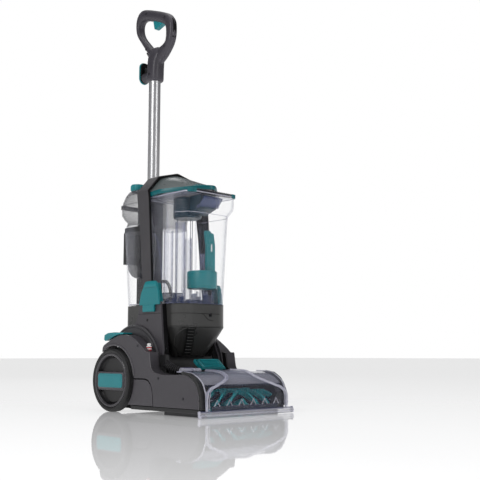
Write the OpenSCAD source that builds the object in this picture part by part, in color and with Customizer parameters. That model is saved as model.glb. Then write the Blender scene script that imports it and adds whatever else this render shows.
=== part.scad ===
// Upright carpet cleaner: a nozzle head on two wheels, a reclining body with two tanks, a pole and a handle.
// The machine faces -Y and stands on Z = 0. The origin is on the floor, in the middle of its box. Millimetres.
// Side outlines are lists of [y, z], front outlines are lists of [x, z].

/* [Head] */
// Half the width of the head, across the lip and the wheels
head_half = 150; // [146:1:154]
// Wheel radius
wheel_r = 77; // [75:0.5:78]
// Wheel axle radius
axle_r = 5; // [4:0.5:6]
// Distance of the wheel axles behind the origin
wheel_y = 118; // [116:1:120]
// Wall thickness of the side covers
cover_wall = 2.5; // [2:0.5:3]
// Radius of a brush roll over its tufts
brush_r = 28; // [26:0.5:28]
// Radius of a brush roll's core
brush_core_r = 10; // [8:0.5:12]
// Helical rows of tufts on one roll
tuft_rows = 4; // [3:1:6]

/* [Recline] */
// Distance of the recline pivot behind the origin
pivot_y = 84; // [83:0.5:85]
// Height of the recline pivot
pivot_z = 110; // [109:0.5:111]
// Radius of the recline pins
pivot_r = 14; // [12:0.5:16]
// Radius of the round shrouds over the pivots
shroud_r = 103; // [100:1:104]

/* [Body] */
// Half the width of the tank cradle
cradle_half = 80; // [80:0.5:80]
// Half the width over the body's arms
arm_half = 100; // [98:0.5:100]
// Height of the cradle's rim
rim_z = 262; // [260:0.5:262]
// Louvre slots in the front panel
louvre_count = 8; // [5:1:9]
// Radius of the pole
pole_r = 16; // [14:0.5:16]
// Distance of the pole behind the origin
pole_y = 147; // [146:0.5:148]

/* [Tanks] */
// Half the width of the clean-water tank
clean_half = 88; // [84:1:90]
// Wall thickness of the clear tanks
tank_wall = 2.5; // [2:0.25:3]
// Height of the recovery tank's top edge
tank_top = 534; // [532:0.5:534]
// Radius of the float
float_r = 38; // [34:1:38]
// Half the width over the carry strap
strap_half = 100; // [99:0.5:100]

/* [Handle] */
// Half the thickness of the handle's loop
grip_half = 12; // [10:0.5:13]
// Radius of the handle's neck
neck_r = 20; // [19:0.5:21]

/* [Hidden] */
$fn = 48;
cut = 1;                      // overshoot of a cutting shape
run = 0.05;                   // radial clearance of a turning fit
gap = 0.3;                    // gap between pieces that move past each other

// head
side_in = 108;                // inner face of the base pan's side walls
side_out = 112;               // their outer face, where the covers begin
cover_out = 140;              // outer face of the side covers
floor_z = 9;                  // underside of the base pan's floor
arch_r = wheel_r + 5;         // wheel arch
wheel_in = 126;               // inner face of a wheel
hub_r = wheel_r - 11;         // joint between hub and tyre
cover_front = [[-166, 90], [-183, 81], [-193, 68], [-200, 53], [-203, 36], [-202, 19]];
hump = [[-30, 109], [-23, 144], [-12, 145], [2, 155], [26, 171], [49, 183], [73, 187], [96, 186],
        [118, 180], [136, 173], [161, 162]];
cover_top = [[-141, 94], [-84, 92], [-65, 94], [-39, 101]];
seam = [[-43, 19], [-40, 45], [-36, 62], [-31, 73], [-21, 80], [-8, 82]];
brush_z = brush_r + 3;
front_brush_y = -172;
rear_brush_y = -112;
brush_half = 103;
motor_y = -55;
motor_z = 40;
pulley_r = 7.5;
motor_pulley_r = 5;
pulley_x = 114;
pulley_w = 6;
belt_t = 1.5;
pedal_pin = [104, 160];
pedal_pin_r = 3;
shroud_in = arm_half + 1;
nozzle_half = 130;
nozzle_outer = [[-216, 15], [-215, 49], [-212, 57], [-204, 75], [-190, 87], [-171, 96], [-150, 99.5],
                [-115, 100]];
nozzle_inner = [[-213, 15], [-212, 49], [-209, 56], [-201.5, 73], [-188.5, 84.5], [-170, 93],
                [-150, 96.5], [-115, 97]];
channel_front = [[-126, 15], [-122, 41], [-56, 64], [-34, 82], [-30, 104], [30, 104], [34, 82],
                 [56, 64], [122, 41], [126, 15]];
channel_t = 4;
latch_pin = [-86, 112];
latch_half = 37.5;

// body
arm_in = cradle_half;
drum_r = 92;
housing_wall = 3;
cradle_z = 207.7;
nose_y = [-70, -50, -26];     // front of the housing at the three heights below
nose_half = [cradle_half, 68, 54]; // its half width there
nose_z = [cradle_z - 0.5, 171, 134];
nose_r = 38;
inner_nose_half = 40;
fan_y = pivot_y;
fan_z = pivot_z;

// tanks
plug_half = 75;
tank_half = 81;
tank_front = -68;
tank_rear = 84;
clean_front = 90;
notch_half = 24;
notch_y = 122;
clean_rear = [[150, 264], [167, 458], [180, 488], [184, 520], [160, 562], [150, 267], [165, 557]];
filler = [-60, 135];
float_at = [28, -22];
post_r = 6;
lid_plan = [[-88, 84], [-92, 48], [-92, 8], [-60, -36], [-17, -84], [17, -84], [60, -36], [92, 8],
            [92, 48], [88, 84]];
lid_rim_z = 537;
strap_t = 6;
lid_arch_z = [599, 594.5, 582.5];    // height of the lid's arch at the middle and on each side

// handle
loop_outer = [[66, 985], [65, 1028], [80, 1052], [104, 1064], [176, 1096], [196, 1100], [212, 1094],
              [222, 1074], [222, 1042], [214, 1022], [163, 955], [163, 940], [127, 920], [76, 955]];
loop_inner = [[92, 985], [92, 1020], [104, 1031], [180, 1063], [198, 1065], [207, 1058], [207, 1040],
              [198, 1024], [152, 976], [140, 968], [120, 968]];
handle_split = 0;
neck_y = 143;
neck_z0 = 881;
neck_z1 = 962;
pole_z0 = 520;
pole_z1 = 930;
trigger_pin = [101, 1043];
hook_z = 899;

// ---- shared shapes ----

// Extrudes a side outline (y, z) across the width, from x0 to x1
module side_slab(x0, x1) {
    translate([x0, 0, 0]) rotate([90, 0, 90]) linear_extrude(x1 - x0) children();
}

// Extrudes a front outline (x, z) along Y, from y0 to y1
module front_slab(y0, y1) {
    translate([0, y1, 0]) rotate([90, 0, 0]) linear_extrude(y1 - y0) children();
}

// Cylinder along X at (y, z)
module x_rod(r, x0, x1, y, z) {
    translate([x0, y, z]) rotate([0, 90, 0]) cylinder(r = r, h = x1 - x0);
}

// Cylinder along Y at (x, z)
module y_rod(r, y0, y1, x, z) {
    translate([x, y0, z]) rotate([-90, 0, 0]) cylinder(r = r, h = y1 - y0);
}

// Box between two corners
module block(low, high) {
    translate(low) cube(high - low);
}

// Rectangle from (x0, y0) to (x1, y1) with round corners
module round_rect(x0, y0, x1, y1, r) {
    translate([x0 + r, y0]) square([x1 - x0 - 2 * r, y1 - y0]);
    translate([x0, y0 + r]) square([x1 - x0, y1 - y0 - 2 * r]);
    for (x = [x0 + r, x1 - r], y = [y0 + r, y1 - r]) translate([x, y]) circle(r);
}

// Thin slab of a round rectangle, symmetric in X, for a hull
module ring_slab(half, y0, y1, r, z) {
    translate([0, 0, z]) linear_extrude(0.5) round_rect(-half, y0, half, y1, r, $fn = 32);
}

// Right-hand piece as drawn for side 1, its mirror image for side -1
module on_side(side) {
    if (side < 0) mirror([1, 0, 0]) children();
    else children();
}

// The list backwards, to close a thin wall's outline
function backwards(points) = [for (i = [len(points) - 1 : -1 : 0]) points[i]];

// ---- head: base ----

// Outline of the whole side of the head, wheel arch filled
module side_outline() {
    polygon(concat([[150, floor_z], [-43, floor_z], [-43, 19]], backwards(cover_front), cover_top, hump,
                   [[167, 110], [160, 40]]));
}

// Outline of a side cover: the side without the wheel arch and the skirt in front of the wheel
module cover_outline() {
    difference() {
        polygon(concat(seam, [[40, 82], [180, 82]], backwards(hump), backwards(cover_top), cover_front));
        translate([wheel_y, wheel_r]) circle(arch_r);
    }
}

module base_pan() color("#333236") {
    for (side = [-1, 1]) on_side(side) {
        difference() {
            side_slab(side_in, side_out) side_outline();
            for (y = [front_brush_y, rear_brush_y])
                x_rod(axle_r + 0.5, side_in - cut, side_out + cut, y, brush_z);
            x_rod(motor_pulley_r - 2, side_in - cut, side_out + cut, motor_y, motor_z);
        }
        difference() {
            x_rod(axle_r + 9, side_out, wheel_in - 2, wheel_y, wheel_r);
            x_rod(axle_r, side_out + 2, wheel_in, wheel_y, wheel_r);
        }
        // bumper strip around the front of the side cover, and the web that carries it
        side_slab(132, 138) polygon([[-203.5, 20], [-211, 20], [-211, 37], [-208, 55], [-200, 72],
            [-188, 86], [-169, 97], [-142, 101], [-142, 95], [-166, 91], [-183.6, 81.6], [-193.7, 68.4],
            [-200.7, 53], [-203.7, 36]]);
        side_slab(side_in, 132) polygon([[-203.5, 20], [-206, 20], [-206, 50], [-203.5, 50]]);
        side_slab(side_in, side_out) polygon([[-200, 20], [-206, 20], [-206, 50], [-200, 50]]);
    }
    block([-side_in, -80, floor_z], [side_in, 150, floor_z + 3]);
    block([-side_in, -80, floor_z + 3], [side_in, -77, 90]);
    block([-side_in, -113, 87], [side_in, -80, 90]);
    block([-side_in, -77, 87], [side_in, -20, 90]);
}

module side_cover(side) color("#4b494e") on_side(side) difference() {
    side_slab(side_out, cover_out) cover_outline();
    side_slab(side_out - cut, cover_out - cover_wall) offset(delta = -cover_wall) cover_outline();
    if (side < 0) {
        // slot that the pedal's lug swings in, seats for its pin, hole for the spray coupling
        block([116, 88, 150], [134, 122, 200]);
        x_rod(pedal_pin_r, side_out - cut, cover_out - cover_wall, pedal_pin[0], pedal_pin[1]);
        translate([120, 1, 130]) cylinder(r = 7, h = 40);
    }
}

// Skirt between the cover's seam and the wheel arch
module wheel_skirt(side) color("#4b494e") on_side(side) difference() {
    side_slab(side_out, cover_out - 0.5) difference() {
        polygon([[-42.4, 19.5], [-39.4, 45], [-35.4, 61.6], [-30.6, 72.5], [-20.8, 79.5], [-8, 81.5],
                 [36, 81.5], [60, 60], [60, 19.5]]);
        translate([wheel_y, wheel_r]) circle(arch_r);
    }
    side_slab(side_out - cut, cover_out - 3) difference() {
        polygon([[-39, 22], [-36, 45], [-32, 60], [-27, 70], [-19, 76.5], [-8, 78.5], [60, 78.5],
                 [60, 22]]);
        translate([wheel_y, wheel_r]) circle(arch_r + cover_wall);
    }
}

module pivot_shroud(side) color("#2c2b2e") on_side(side) {
    difference() {
        x_rod(shroud_r, shroud_in, side_in, pivot_y, pivot_z);
        x_rod(shroud_r - 8, shroud_in + 4, side_in + cut, pivot_y, pivot_z);
        block([0, -50, -10], [200, 250, floor_z + 3]);
    }
    x_rod(30, shroud_in + 4, side_in, pivot_y, pivot_z);
}

module axles_and_pins() color("#c8c8cc") for (side = [-1, 1]) on_side(side) {
    x_rod(axle_r, side_out + 2, head_half - 6, wheel_y, wheel_r);
    x_rod(pivot_r, arm_in + 2, shroud_in, pivot_y, pivot_z);
    if (side < 0) x_rod(pedal_pin_r, side_out, cover_out - cover_wall, pedal_pin[0], pedal_pin[1]);
}

module floor_skids() color("#1d1c1e") for (side = [-1, 1]) on_side(side) {
    // long rails under the front, and pads that fill the step up to the side walls
    block([side_in, -196, 0], [side_out + 8, -60, floor_z]);
    block([side_in, -196, floor_z], [side_out, -60, 19]);
}

module brush_motor() color("#8a8c90") {
    x_rod(19, 20, 96, motor_y, motor_z);
    x_rod(8, 96, 100, motor_y, motor_z);
}

// Outline of the belt loop, grown by t from the pulleys
module belt_loop(t) {
    hull() {
        for (y = [front_brush_y, rear_brush_y]) translate([y, brush_z]) circle(pulley_r + t);
        translate([motor_y, motor_z]) circle(motor_pulley_r + t);
    }
}

module drive_belt() color("#151515") side_slab(pulley_x, pulley_x + pulley_w) difference() {
    belt_loop(0.15 + belt_t, $fn = 32);
    belt_loop(0.15, $fn = 32);
}

// White push-in coupling with two red rings
module spray_coupling() color("#e8e4e0") translate([-120, 1, 0]) {
    translate([0, 0, 134]) cylinder(r = 6, h = 14);
    translate([0, 0, 148]) cylinder(r = 5, h = 16);
    for (z = [150, 156]) translate([0, 0, z]) cylinder(r = 6.8, h = 3);
}

module coupling_seat() color("#222224") {
    block([-107.5, -48, 93], [-101.5, -24, 141]);
    block([-101.5, -48, 90], [-90, -40, 141]);
    block([-107.5, -48, 90], [-101.5, -40, 93]);
}

// Short corrugated hose between the seat and the deck
module suction_hose() color("#161618") translate([-84, -66, 102]) rotate([0, 30, 35]) {
    for (i = [0 : 7]) translate([0, 0, i * 5 - 4]) {
        cylinder(r = 10, h = 2.5);
        translate([0, 0, 2.5]) cylinder(r = 8, h = 2.5);
    }
}

module cover_screws() color("#9a9a9e") for (side = [-1, 1]) on_side(side)
    for (at = [[-60, 84], [-150, 40], [20, 160]]) x_rod(3, cover_out, cover_out + 0.8, at[0], at[1]);

// ---- head: nozzle ----

module nozzle_cover() color("#b9bcd4") side_slab(-nozzle_half, nozzle_half)
    polygon(concat(nozzle_outer, backwards(nozzle_inner)));

module suction_channel() color("#c9ccd8") {
    intersection() {
        side_slab(-nozzle_half, nozzle_half)
            polygon(concat([for (p = nozzle_outer) [p[0] - (p[1] < 90 ? channel_t : 0),
                                                    p[1] + (p[1] > 60 ? channel_t : 0)]],
                           backwards(nozzle_outer)));
        front_slab(-230, -100) polygon(channel_front);
    }
    // neck to the rear, the latch's ears and its pin
    block([-30, -115, 97], [30, -106, 103.5]);
    block([-30, -107, 97], [30, -70, 100]);
    block([-41, -93, 97], [41, -79, 100]);
    difference() {
        for (side = [-1, 1]) on_side(side) block([latch_half + 0.5, -92, 100], [latch_half + 4, -80, 118]);
        x_rod(2, -50, 50, latch_pin[0], latch_pin[1]);
    }
    x_rod(2, -latch_half - 4, latch_half + 4, latch_pin[0], latch_pin[1]);
}

module nozzle_lip() color("#d4d6e6") difference() {
    block([-head_half, -222, 1], [head_half, -213, 14.9]);
    block([-head_half - cut, -219, 4], [head_half + cut, -213 - 3, 12]);
}

// Dark strip behind the front wall, with a row of triangular teeth
module toothed_strip() color("#23262e") front_slab(-210.5, -207.5) union() {
    polygon([[-106, 6], [106, 6], [106, 26], [-106, 26]]);
    for (i = [0 : 5]) translate([-90 + 36 * i, 26]) polygon([[-10, 0], [10, 0], [0, 12]]);
}

module nozzle_latch() color("#2b9aa0") difference() {
    side_slab(-latch_half, latch_half)
        polygon([[-103, 105], [-74, 128.5], [-67.5, 120], [-80, 107.5], [-97, 101.5]]);
    x_rod(2 + run, -latch_half - cut, latch_half + cut, latch_pin[0], latch_pin[1]);
    for (i = [0 : 4]) translate([0, -76 - 5 * i, 126.2 - 4.05 * i]) rotate([40, 0, 0])
        block([-28, -1, 0], [28, 1, 4]);
}

// ---- wheels ----

module wheel_hub(side) color("#3a383c") on_side(side) difference() {
    union() {
        x_rod(hub_r, wheel_in + 1, 134, wheel_y, wheel_r);
        difference() {
            x_rod(hub_r, 134, head_half - 1, wheel_y, wheel_r);
            x_rod(hub_r - 6, 134 - cut, head_half, wheel_y, wheel_r);
        }
        intersection() {
            x_rod(hub_r - 5, 133, head_half - 3, wheel_y, wheel_r);
            block([133, 0, wheel_r - 25], [head_half, 300, wheel_r + 25]);
        }
    }
    x_rod(axle_r + run, wheel_in, head_half - 6 + run, wheel_y, wheel_r);
}

module tyre(side) color("#1f1e20") on_side(side) difference() {
    x_rod(wheel_r, wheel_in, head_half - 1, wheel_y, wheel_r);
    x_rod(hub_r, wheel_in - cut, head_half, wheel_y, wheel_r);
    for (x = [132, 138]) difference() {
        x_rod(wheel_r + cut, x, x + 1.5, wheel_y, wheel_r);
        x_rod(wheel_r - 1, x - cut, x + 3, wheel_y, wheel_r);
    }
}

module hub_plate(side) color("#35a3ad") on_side(side)
    side_slab(head_half - 3, head_half) translate([wheel_y, wheel_r]) round_rect(-51, -15, 51, 15, 6);

// ---- brushes ----

module brush_core(y) color("#20242c") {
    x_rod(brush_core_r, -brush_half, brush_half, y, brush_z);
    x_rod(axle_r, -side_in + gap, -brush_half, y, brush_z);
    x_rod(axle_r, brush_half, pulley_x, y, brush_z);
    x_rod(pulley_r, pulley_x, pulley_x + pulley_w, y, brush_z);
}

module brush_tufts(y) color("#159aa2") translate([-brush_half + 3, y, brush_z]) rotate([0, 90, 0])
    for (i = [0 : tuft_rows - 1]) rotate([0, 0, i * 360 / tuft_rows])
        linear_extrude(2 * brush_half - 6, twist = 300, slices = 18, $fn = 4)
            translate([brush_core_r + 0.1, -2.5]) square([brush_r - brush_core_r - 0.6, 5]);

module motor_pulley() color("#b0b0b4") {
    x_rod(2.5, 100 + gap, pulley_x, motor_y, motor_z);
    x_rod(motor_pulley_r, pulley_x, pulley_x + pulley_w, motor_y, motor_z);
}

// ---- pedal ----

module recline_pedal() color("#2b9aa0") difference() {
    union() {
        side_slab(-138, -110) polygon([[82, 189.5], [104, 188.5], [126, 183], [148, 175.5], [159, 173],
                                       [163, 177], [161, 188], [146, 193], [118, 194], [82, 192.5]]);
        side_slab(-131, -119) polygon([[97, 160], [111, 160], [116, 187], [92, 190]]);
        x_rod(7, -131, -119, pedal_pin[0], pedal_pin[1]);
    }
    x_rod(pedal_pin_r + run, -140, -100, pedal_pin[0], pedal_pin[1]);
}

// ---- body ----

// Sloping front of the housing with round corners, drawn in by t
module nose(t) {
    for (i = [0, 1]) hull() for (k = [i, i + 1])
        ring_slab(nose_half[k] - t, nose_y[k] + 1.2 * t, 72, nose_r - t, nose_z[k]);
}

// Side outline of the housing behind its sloping front, drawn in by t
module housing_outline(t) {
    translate([pivot_y, pivot_z]) circle(drum_r - t);
    polygon([[0, cradle_z - t], [0, 139], [pivot_y, pivot_z], [150 - t, 180], [150 - t, cradle_z - t]]);
}

// Side outline of the housing's middle, inside the sloping front, drawn in by t
module inner_nose_outline(t) polygon([[-65 + 2 * t, cradle_z - t], [-44 + 2 * t, 171], [-7 + 3 * t, 134],
                                      [20, 134], [20, cradle_z - t]]);

module motor_housing() color("#2b2a2c") difference() {
    union() {
        side_slab(-cradle_half, cradle_half) housing_outline(0);
        side_slab(-inner_nose_half, inner_nose_half) inner_nose_outline(0);
    }
    side_slab(housing_wall - cradle_half, cradle_half - housing_wall) housing_outline(housing_wall);
    side_slab(housing_wall - inner_nose_half, inner_nose_half - housing_wall)
        inner_nose_outline(housing_wall);
    // air intake behind the louvres
    block([-38, -90, 152], [-20, 10, 200]);
}

module front_louvre_panel() color("#3a3a3a") difference() {
    nose(0);
    nose(housing_wall - 0.02);
    block([-100, -4, 100], [100, 90, 300]);
    x_rod(drum_r, -100, 100, pivot_y, pivot_z);
    // slots beside the panel's left edge, which leans in towards the bottom
    for (i = [0 : louvre_count - 1]) {
        t = (i + 0.5) / louvre_count;
        translate([-50 + 20 * t, 0, 203 - 52 * t]) block([-9, -90, -2], [9, -6, 2]);
    }
}

module tank_cradle() color("#353437") difference() {
    translate([0, 0, cradle_z]) linear_extrude(rim_z - cradle_z)
        union() {
            round_rect(-cradle_half, -70, cradle_half, 100, 40);
            round_rect(-cradle_half, 20, cradle_half, 155, 18);
        }
    translate([0, 0, 212]) linear_extrude(60) union() {
        round_rect(-plug_half - 1, -66, plug_half + 1, 60, 36);
        round_rect(-plug_half - 1, 20, plug_half + 1, tank_rear + 1.5, 4);
    }
    block([-plug_half, 90, 212], [plug_half, 151, rim_z - 3]);
    // small square window in the front
    block([9, -72, 231], [18, -60, 240]);
}

// The right arm's front edge is cut back above the deck
module arm(side) color("#434246") on_side(side) difference() {
    union() {
        side_slab(arm_in, arm_half) polygon(concat(
            side < 0 ? [[-28, 125], [-26, 150]] : [[10, 125], [8, 165], [-8, 207]],
            [[-16, rim_z], [66, rim_z], [71, 245], [75, 228], [83, 219], [pivot_y, pivot_z]]));
        x_rod(97, arm_in, arm_half, pivot_y, pivot_z);
    }
    x_rod(pivot_r + run, arm_in - cut, arm_half + cut, pivot_y, pivot_z);
}

module spine() color("#2c2b2e") difference() {
    union() {
        side_slab(-19, 19) polygon([[155, cradle_z], [182, 222], [188, 240], [188, 560], [182, 566],
                                    [127, 566], [127, 262.2], [155, 262.2]]);
        // hand grip and cord rest that stand out of the back
        translate([0, 0, 376]) linear_extrude(84) round_rect(-56, 188, 56, 204, 7);
        translate([0, 0, 522]) linear_extrude(10) round_rect(-68, 188, 68, 200, 5);
    }
    translate([0, pole_y, pole_z0]) cylinder(r = pole_r, h = 200);
}

module suction_motor() color("#9a9ca0") {
    x_rod(46, -62, 0, fan_y, fan_z);
    x_rod(4, 0, 30, fan_y, fan_z);
}

module impeller() color("#c2c4c8") difference() {
    union() {
        x_rod(52, 6, 8, fan_y, fan_z);
        x_rod(12, 6, 24, fan_y, fan_z);
        for (i = [0 : 7]) translate([0, fan_y, fan_z]) rotate([45 * i, 0, 0]) block([8, -1, 10], [22, 1, 50]);
    }
    x_rod(4 + run, 5, 26, fan_y, fan_z);
}

module water_pump() color("#5a6a78") {
    block([30, 20, 150], [62, 70, 185]);
    y_rod(6, 10, 20, 46, 168);
}

module pole() color("#d8dade") translate([0, pole_y, pole_z0]) difference() {
    cylinder(r = pole_r, h = pole_z1 - pole_z0);
    translate([0, 0, -cut]) cylinder(r = pole_r - 1.5, h = 500);
}

// ---- handle ----

// Half of the handle on the +X side, hollow in the loop, solid at the neck
module handle_half() {
    x_rod(2 - run, handle_split, 9, trigger_pin[0], trigger_pin[1]);
    difference() {
    union() {
        side_slab(handle_split, grip_half) difference() {
            polygon(loop_outer);
            polygon(loop_inner);
        }
        intersection() {
            translate([0, neck_y, neck_z0]) cylinder(r = neck_r, h = neck_z1 - neck_z0);
            block([handle_split, 100, neck_z0], [60, 200, neck_z1]);
        }
    }
    side_slab(-cut, grip_half - 3) difference() {
        offset(delta = -3) polygon(loop_outer);
        offset(delta = 3) polygon(loop_inner);
        translate([80, 880]) square([100, 86]);
    }
    translate([0, pole_y, neck_z0 - cut]) cylinder(r = pole_r, h = pole_z1 - neck_z0 + cut);
    // slot in the top bar that the trigger moves in
    side_slab(-cut, 7.5) polygon([[93, 1014], [93, 1052], [160, 1080], [160, 1046]]);
    }
}

module left_handle_shell() color("#46444a") mirror([1, 0, 0]) handle_half();
module right_handle_shell() color("#46444a") handle_half();

module handle_screws() color("#1a1a1c")
    for (at = [[172, 1082], [92, 1046], [96, 962], [164, 974]])
        x_rod(2.6, -grip_half - 0.8, -grip_half, at[0], at[1]);

module trigger() color("#2b9aa0") difference() {
    union() {
        side_slab(-6.8, 6.8) polygon([[96, 1046], [99, 1037], [137, 1026], [143, 1027], [149, 1052],
                                      [104, 1046]]);
        x_rod(5, -6.8, 6.8, trigger_pin[0], trigger_pin[1]);
    }
    x_rod(2, -20, 20, trigger_pin[0], trigger_pin[1]);
}

module cord_hook() color("#3c3a40") {
    y_rod(14, neck_y + neck_r + 1, 188, 0, hook_z);
    front_slab(188, 194) union() {
        translate([0, hook_z]) circle(14);
        translate([-13, hook_z]) square([26, 30]);
        translate([0, hook_z + 30]) circle(13);
    }
    front_slab(194, 198) union() {
        translate([0, hook_z]) circle(16);
        translate([-15, hook_z]) square([30, 30]);
        translate([0, hook_z + 30]) circle(15);
    }
}

module cord_gland() color("#1c1b1d") y_rod(8, 188, 200, 0, 300);

// ---- recovery tank ----

// Form of the recovery tank up to the height top, drawn in by t
module tank_form(t, top) {
    hull() {
        ring_slab(tank_half - t, tank_front + t, tank_rear - t, 42 - t, 262.5);
        ring_slab(tank_half + 1.5 - t, -86 + t, tank_rear - t, 46 - t, 484);
    }
    hull() {
        ring_slab(tank_half + 1.2 - t, -85.5 + t, tank_rear - 0.3 - t, 45 - t, 483);
        ring_slab(tank_half + 2 - t, -99 + t, tank_rear - t, 34 - t, 500);
        ring_slab(tank_half + 2 - t, -99 + t, tank_rear - t, 30 - t, top - 0.5);
    }
}

module recovery_tank() color("#cfd6e4") difference() {
    union() {
        tank_form(0, tank_top);
        translate([0, 0, 214]) linear_extrude(50) round_rect(-plug_half, -64, plug_half, tank_rear - 2, 34);
    }
    difference() {
        tank_form(tank_wall, tank_top + 4);
        block([-200, -200, 200], [200, 200, 265]);
    }
    translate([0, 0, 217]) linear_extrude(50)
        round_rect(tank_wall - plug_half, tank_wall - 64, plug_half - tank_wall, tank_rear - 2 - tank_wall, 32);
}

// Upright clear tubes on the tank's floor, and the post that the float slides on
module tank_tubes() color("#a9b4d6") {
    for (at = [[0, 32, 470], [-32, 40, 450]]) translate([at[0], at[1], 217]) difference() {
        cylinder(r = 12, h = at[2] - 217);
        translate([0, 0, -cut]) cylinder(r = 10.5, h = 300);
    }
    translate([float_at[0], float_at[1], 217]) {
        cylinder(r = post_r, h = 176);
        cylinder(r = 15, h = 80);
    }
}

module float() color("#1f9097") difference() {
    union() {
        translate([float_at[0], float_at[1], 300]) cylinder(r = float_r, h = 48);
        front_slab(-34, -26) polygon([[33, 347], [62, 347], [62, 420], [57, 446], [40, 452], [27, 452],
                                      [33, 415]]);
    }
    translate([float_at[0], float_at[1], 290]) cylinder(r = post_r + 0.6, h = 70);
    block([48, -40, 400], [52, -20, 420]);
}

// ---- lid and carry strap ----

module lid_base() color("#c9d0de") translate([0, 0, tank_top + 0.3]) linear_extrude(2.7)
    round_rect(-tank_half - 2, -99, tank_half + 2, tank_rear, 28);

module lid_rim() color("#15808a") translate([0, 0, lid_rim_z]) linear_extrude(9) difference() {
    polygon(lid_plan);
    offset(delta = -4) polygon(lid_plan);
}

// Lid above its rim, drawn in by t from the height z0: an arch from side to side that slopes to the nose
module lid_dome(t, z0) intersection() {
    translate([0, 0, z0]) linear_extrude(60) offset(delta = -t) polygon(lid_plan);
    front_slab(-100, 83 - t) polygon([[t - 91, z0 - 1], [t - 91, lid_rim_z + 11], [t - 59, lid_arch_z[2] - t],
        [-28, lid_arch_z[1] - t], [0, lid_arch_z[0] - t], [28, lid_arch_z[1] - t],
        [59 - t, lid_arch_z[2] - t], [91 - t, lid_rim_z + 11], [91 - t, z0 - 1]]);
    side_slab(-95, 95) polygon([[-90, z0 - 1], [-90, 550 - t], [-70, 561 - t], [42, 600 - t], [90, 600 - t],
                                [90, z0 - 1]]);
}

module lid_shell() color("#6d7878") difference() {
    lid_dome(0, lid_rim_z + 9);
    lid_dome(4, lid_rim_z + 8);
}

module lid_baffle() color("#0f4a58") {
    translate([0, 2, 480]) cylinder(r = 36, h = tank_top - 480);
    block([-24, -76, 492], [24, -34, tank_top]);
}

module carry_strap() color("#4a484c") {
    for (side = [-1, 1]) on_side(side)
        side_slab(strap_half - strap_t, strap_half)
            polygon([[18, 264], [50, 264], [57, 322], [79, 530], [82, 548], [42, 548], [39, 530], [24, 322]]);
    front_slab(44, 86) polygon([[strap_half, 548], [64, 590], [30, 602], [0, 607], [-30, 602], [-64, 590],
        [-strap_half, 548], [strap_t - strap_half, 548], [-61, 584.5], [-29, 596], [0, 600.5], [29, 596],
        [61, 584.5], [strap_half - strap_t, 548]]);
}

module strap_latch(side) color("#2fa0a8") on_side(side) {
    side_slab(strap_half + 0.5, strap_half + 6) polygon([[3, 243], [48, 243], [48, 260], [62, 260],
        [38, 315.3], [-5, 315.3], [-16, 260], [3, 260]]);
    // rounded top edge, whose centre is the line the latch swings about
    translate([strap_half + 3.25, -5, 315.3]) rotate([-90, 0, 0]) cylinder(r = 2.7, h = 43);
    side_slab(90, strap_half + 0.5) polygon([[-14.5, 266], [-5, 314], [-1, 314], [-10.5, 266]]);
}

// ---- clean-water tank ----

// Part of the clean-water tank between steps a and b of its rear outline, drawn in by t
module clean_part(a, b, t) {
    hull() for (k = [a, b])
        ring_slab(clean_half - t, clean_front + t, clean_rear[k][0] - t, 26 - t, clean_rear[k][1]);
}

module clean_tank() color("#c6cbd4") {
    difference() {
        for (k = [0 : 3]) clean_part(k, k + 1, 0);
        difference() {
            for (k = [0 : 2]) clean_part(k == 0 ? 5 : k, k < 2 ? k + 1 : 6, tank_wall);
            block([-notch_half - tank_wall, notch_y - tank_wall, 200], [notch_half + tank_wall, 300, 600]);
        }
        block([-notch_half, notch_y, 200], [notch_half, 300, 600]);
        translate([filler[0], filler[1], 540]) cylinder(r = 12.5, h = 60);
    }
    translate([filler[0], filler[1], 558]) difference() {
        cylinder(r = 15, h = 17);
        translate([0, 0, -cut]) cylinder(r = 12.5, h = 30);
    }
}

module filler_cap() color("#2fa0a8") translate([filler[0], filler[1], 563.5]) difference() {
    cylinder(r = 18.5, h = 18);
    translate([0, 0, -cut]) cylinder(r = 15.3, h = 14);
}

base_pan();
side_cover(-1);  // left_side_cover
side_cover(1);  // right_side_cover
wheel_skirt(-1);  // left_wheel_skirt
wheel_skirt(1);  // right_wheel_skirt
pivot_shroud(-1);  // left_pivot_shroud
pivot_shroud(1);  // right_pivot_shroud
axles_and_pins();
floor_skids();
brush_motor();
drive_belt();
spray_coupling();
coupling_seat();
suction_hose();
cover_screws();
nozzle_cover();
suction_channel();
nozzle_lip();
toothed_strip();
nozzle_latch();
wheel_hub(-1);  // left_wheel_hub
tyre(-1);  // left_tyre
hub_plate(-1);  // left_hub_plate
wheel_hub(1);  // right_wheel_hub
tyre(1);  // right_tyre
hub_plate(1);  // right_hub_plate
brush_core(front_brush_y);  // front_brush_core
brush_tufts(front_brush_y);  // front_brush_tufts
brush_core(rear_brush_y);  // rear_brush_core
brush_tufts(rear_brush_y);  // rear_brush_tufts
motor_pulley();
recline_pedal();
motor_housing();
front_louvre_panel();
tank_cradle();
arm(-1);  // left_arm
arm(1);  // right_arm
spine();
suction_motor();
impeller();
water_pump();
pole();
left_handle_shell();
right_handle_shell();
handle_screws();
cord_gland();
trigger();
cord_hook();
recovery_tank();
tank_tubes();
float();
lid_base();
lid_rim();
lid_shell();
lid_baffle();
carry_strap();
strap_latch(-1);  // left_strap_latch
strap_latch(1);  // right_strap_latch
clean_tank();
filler_cap();
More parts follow.
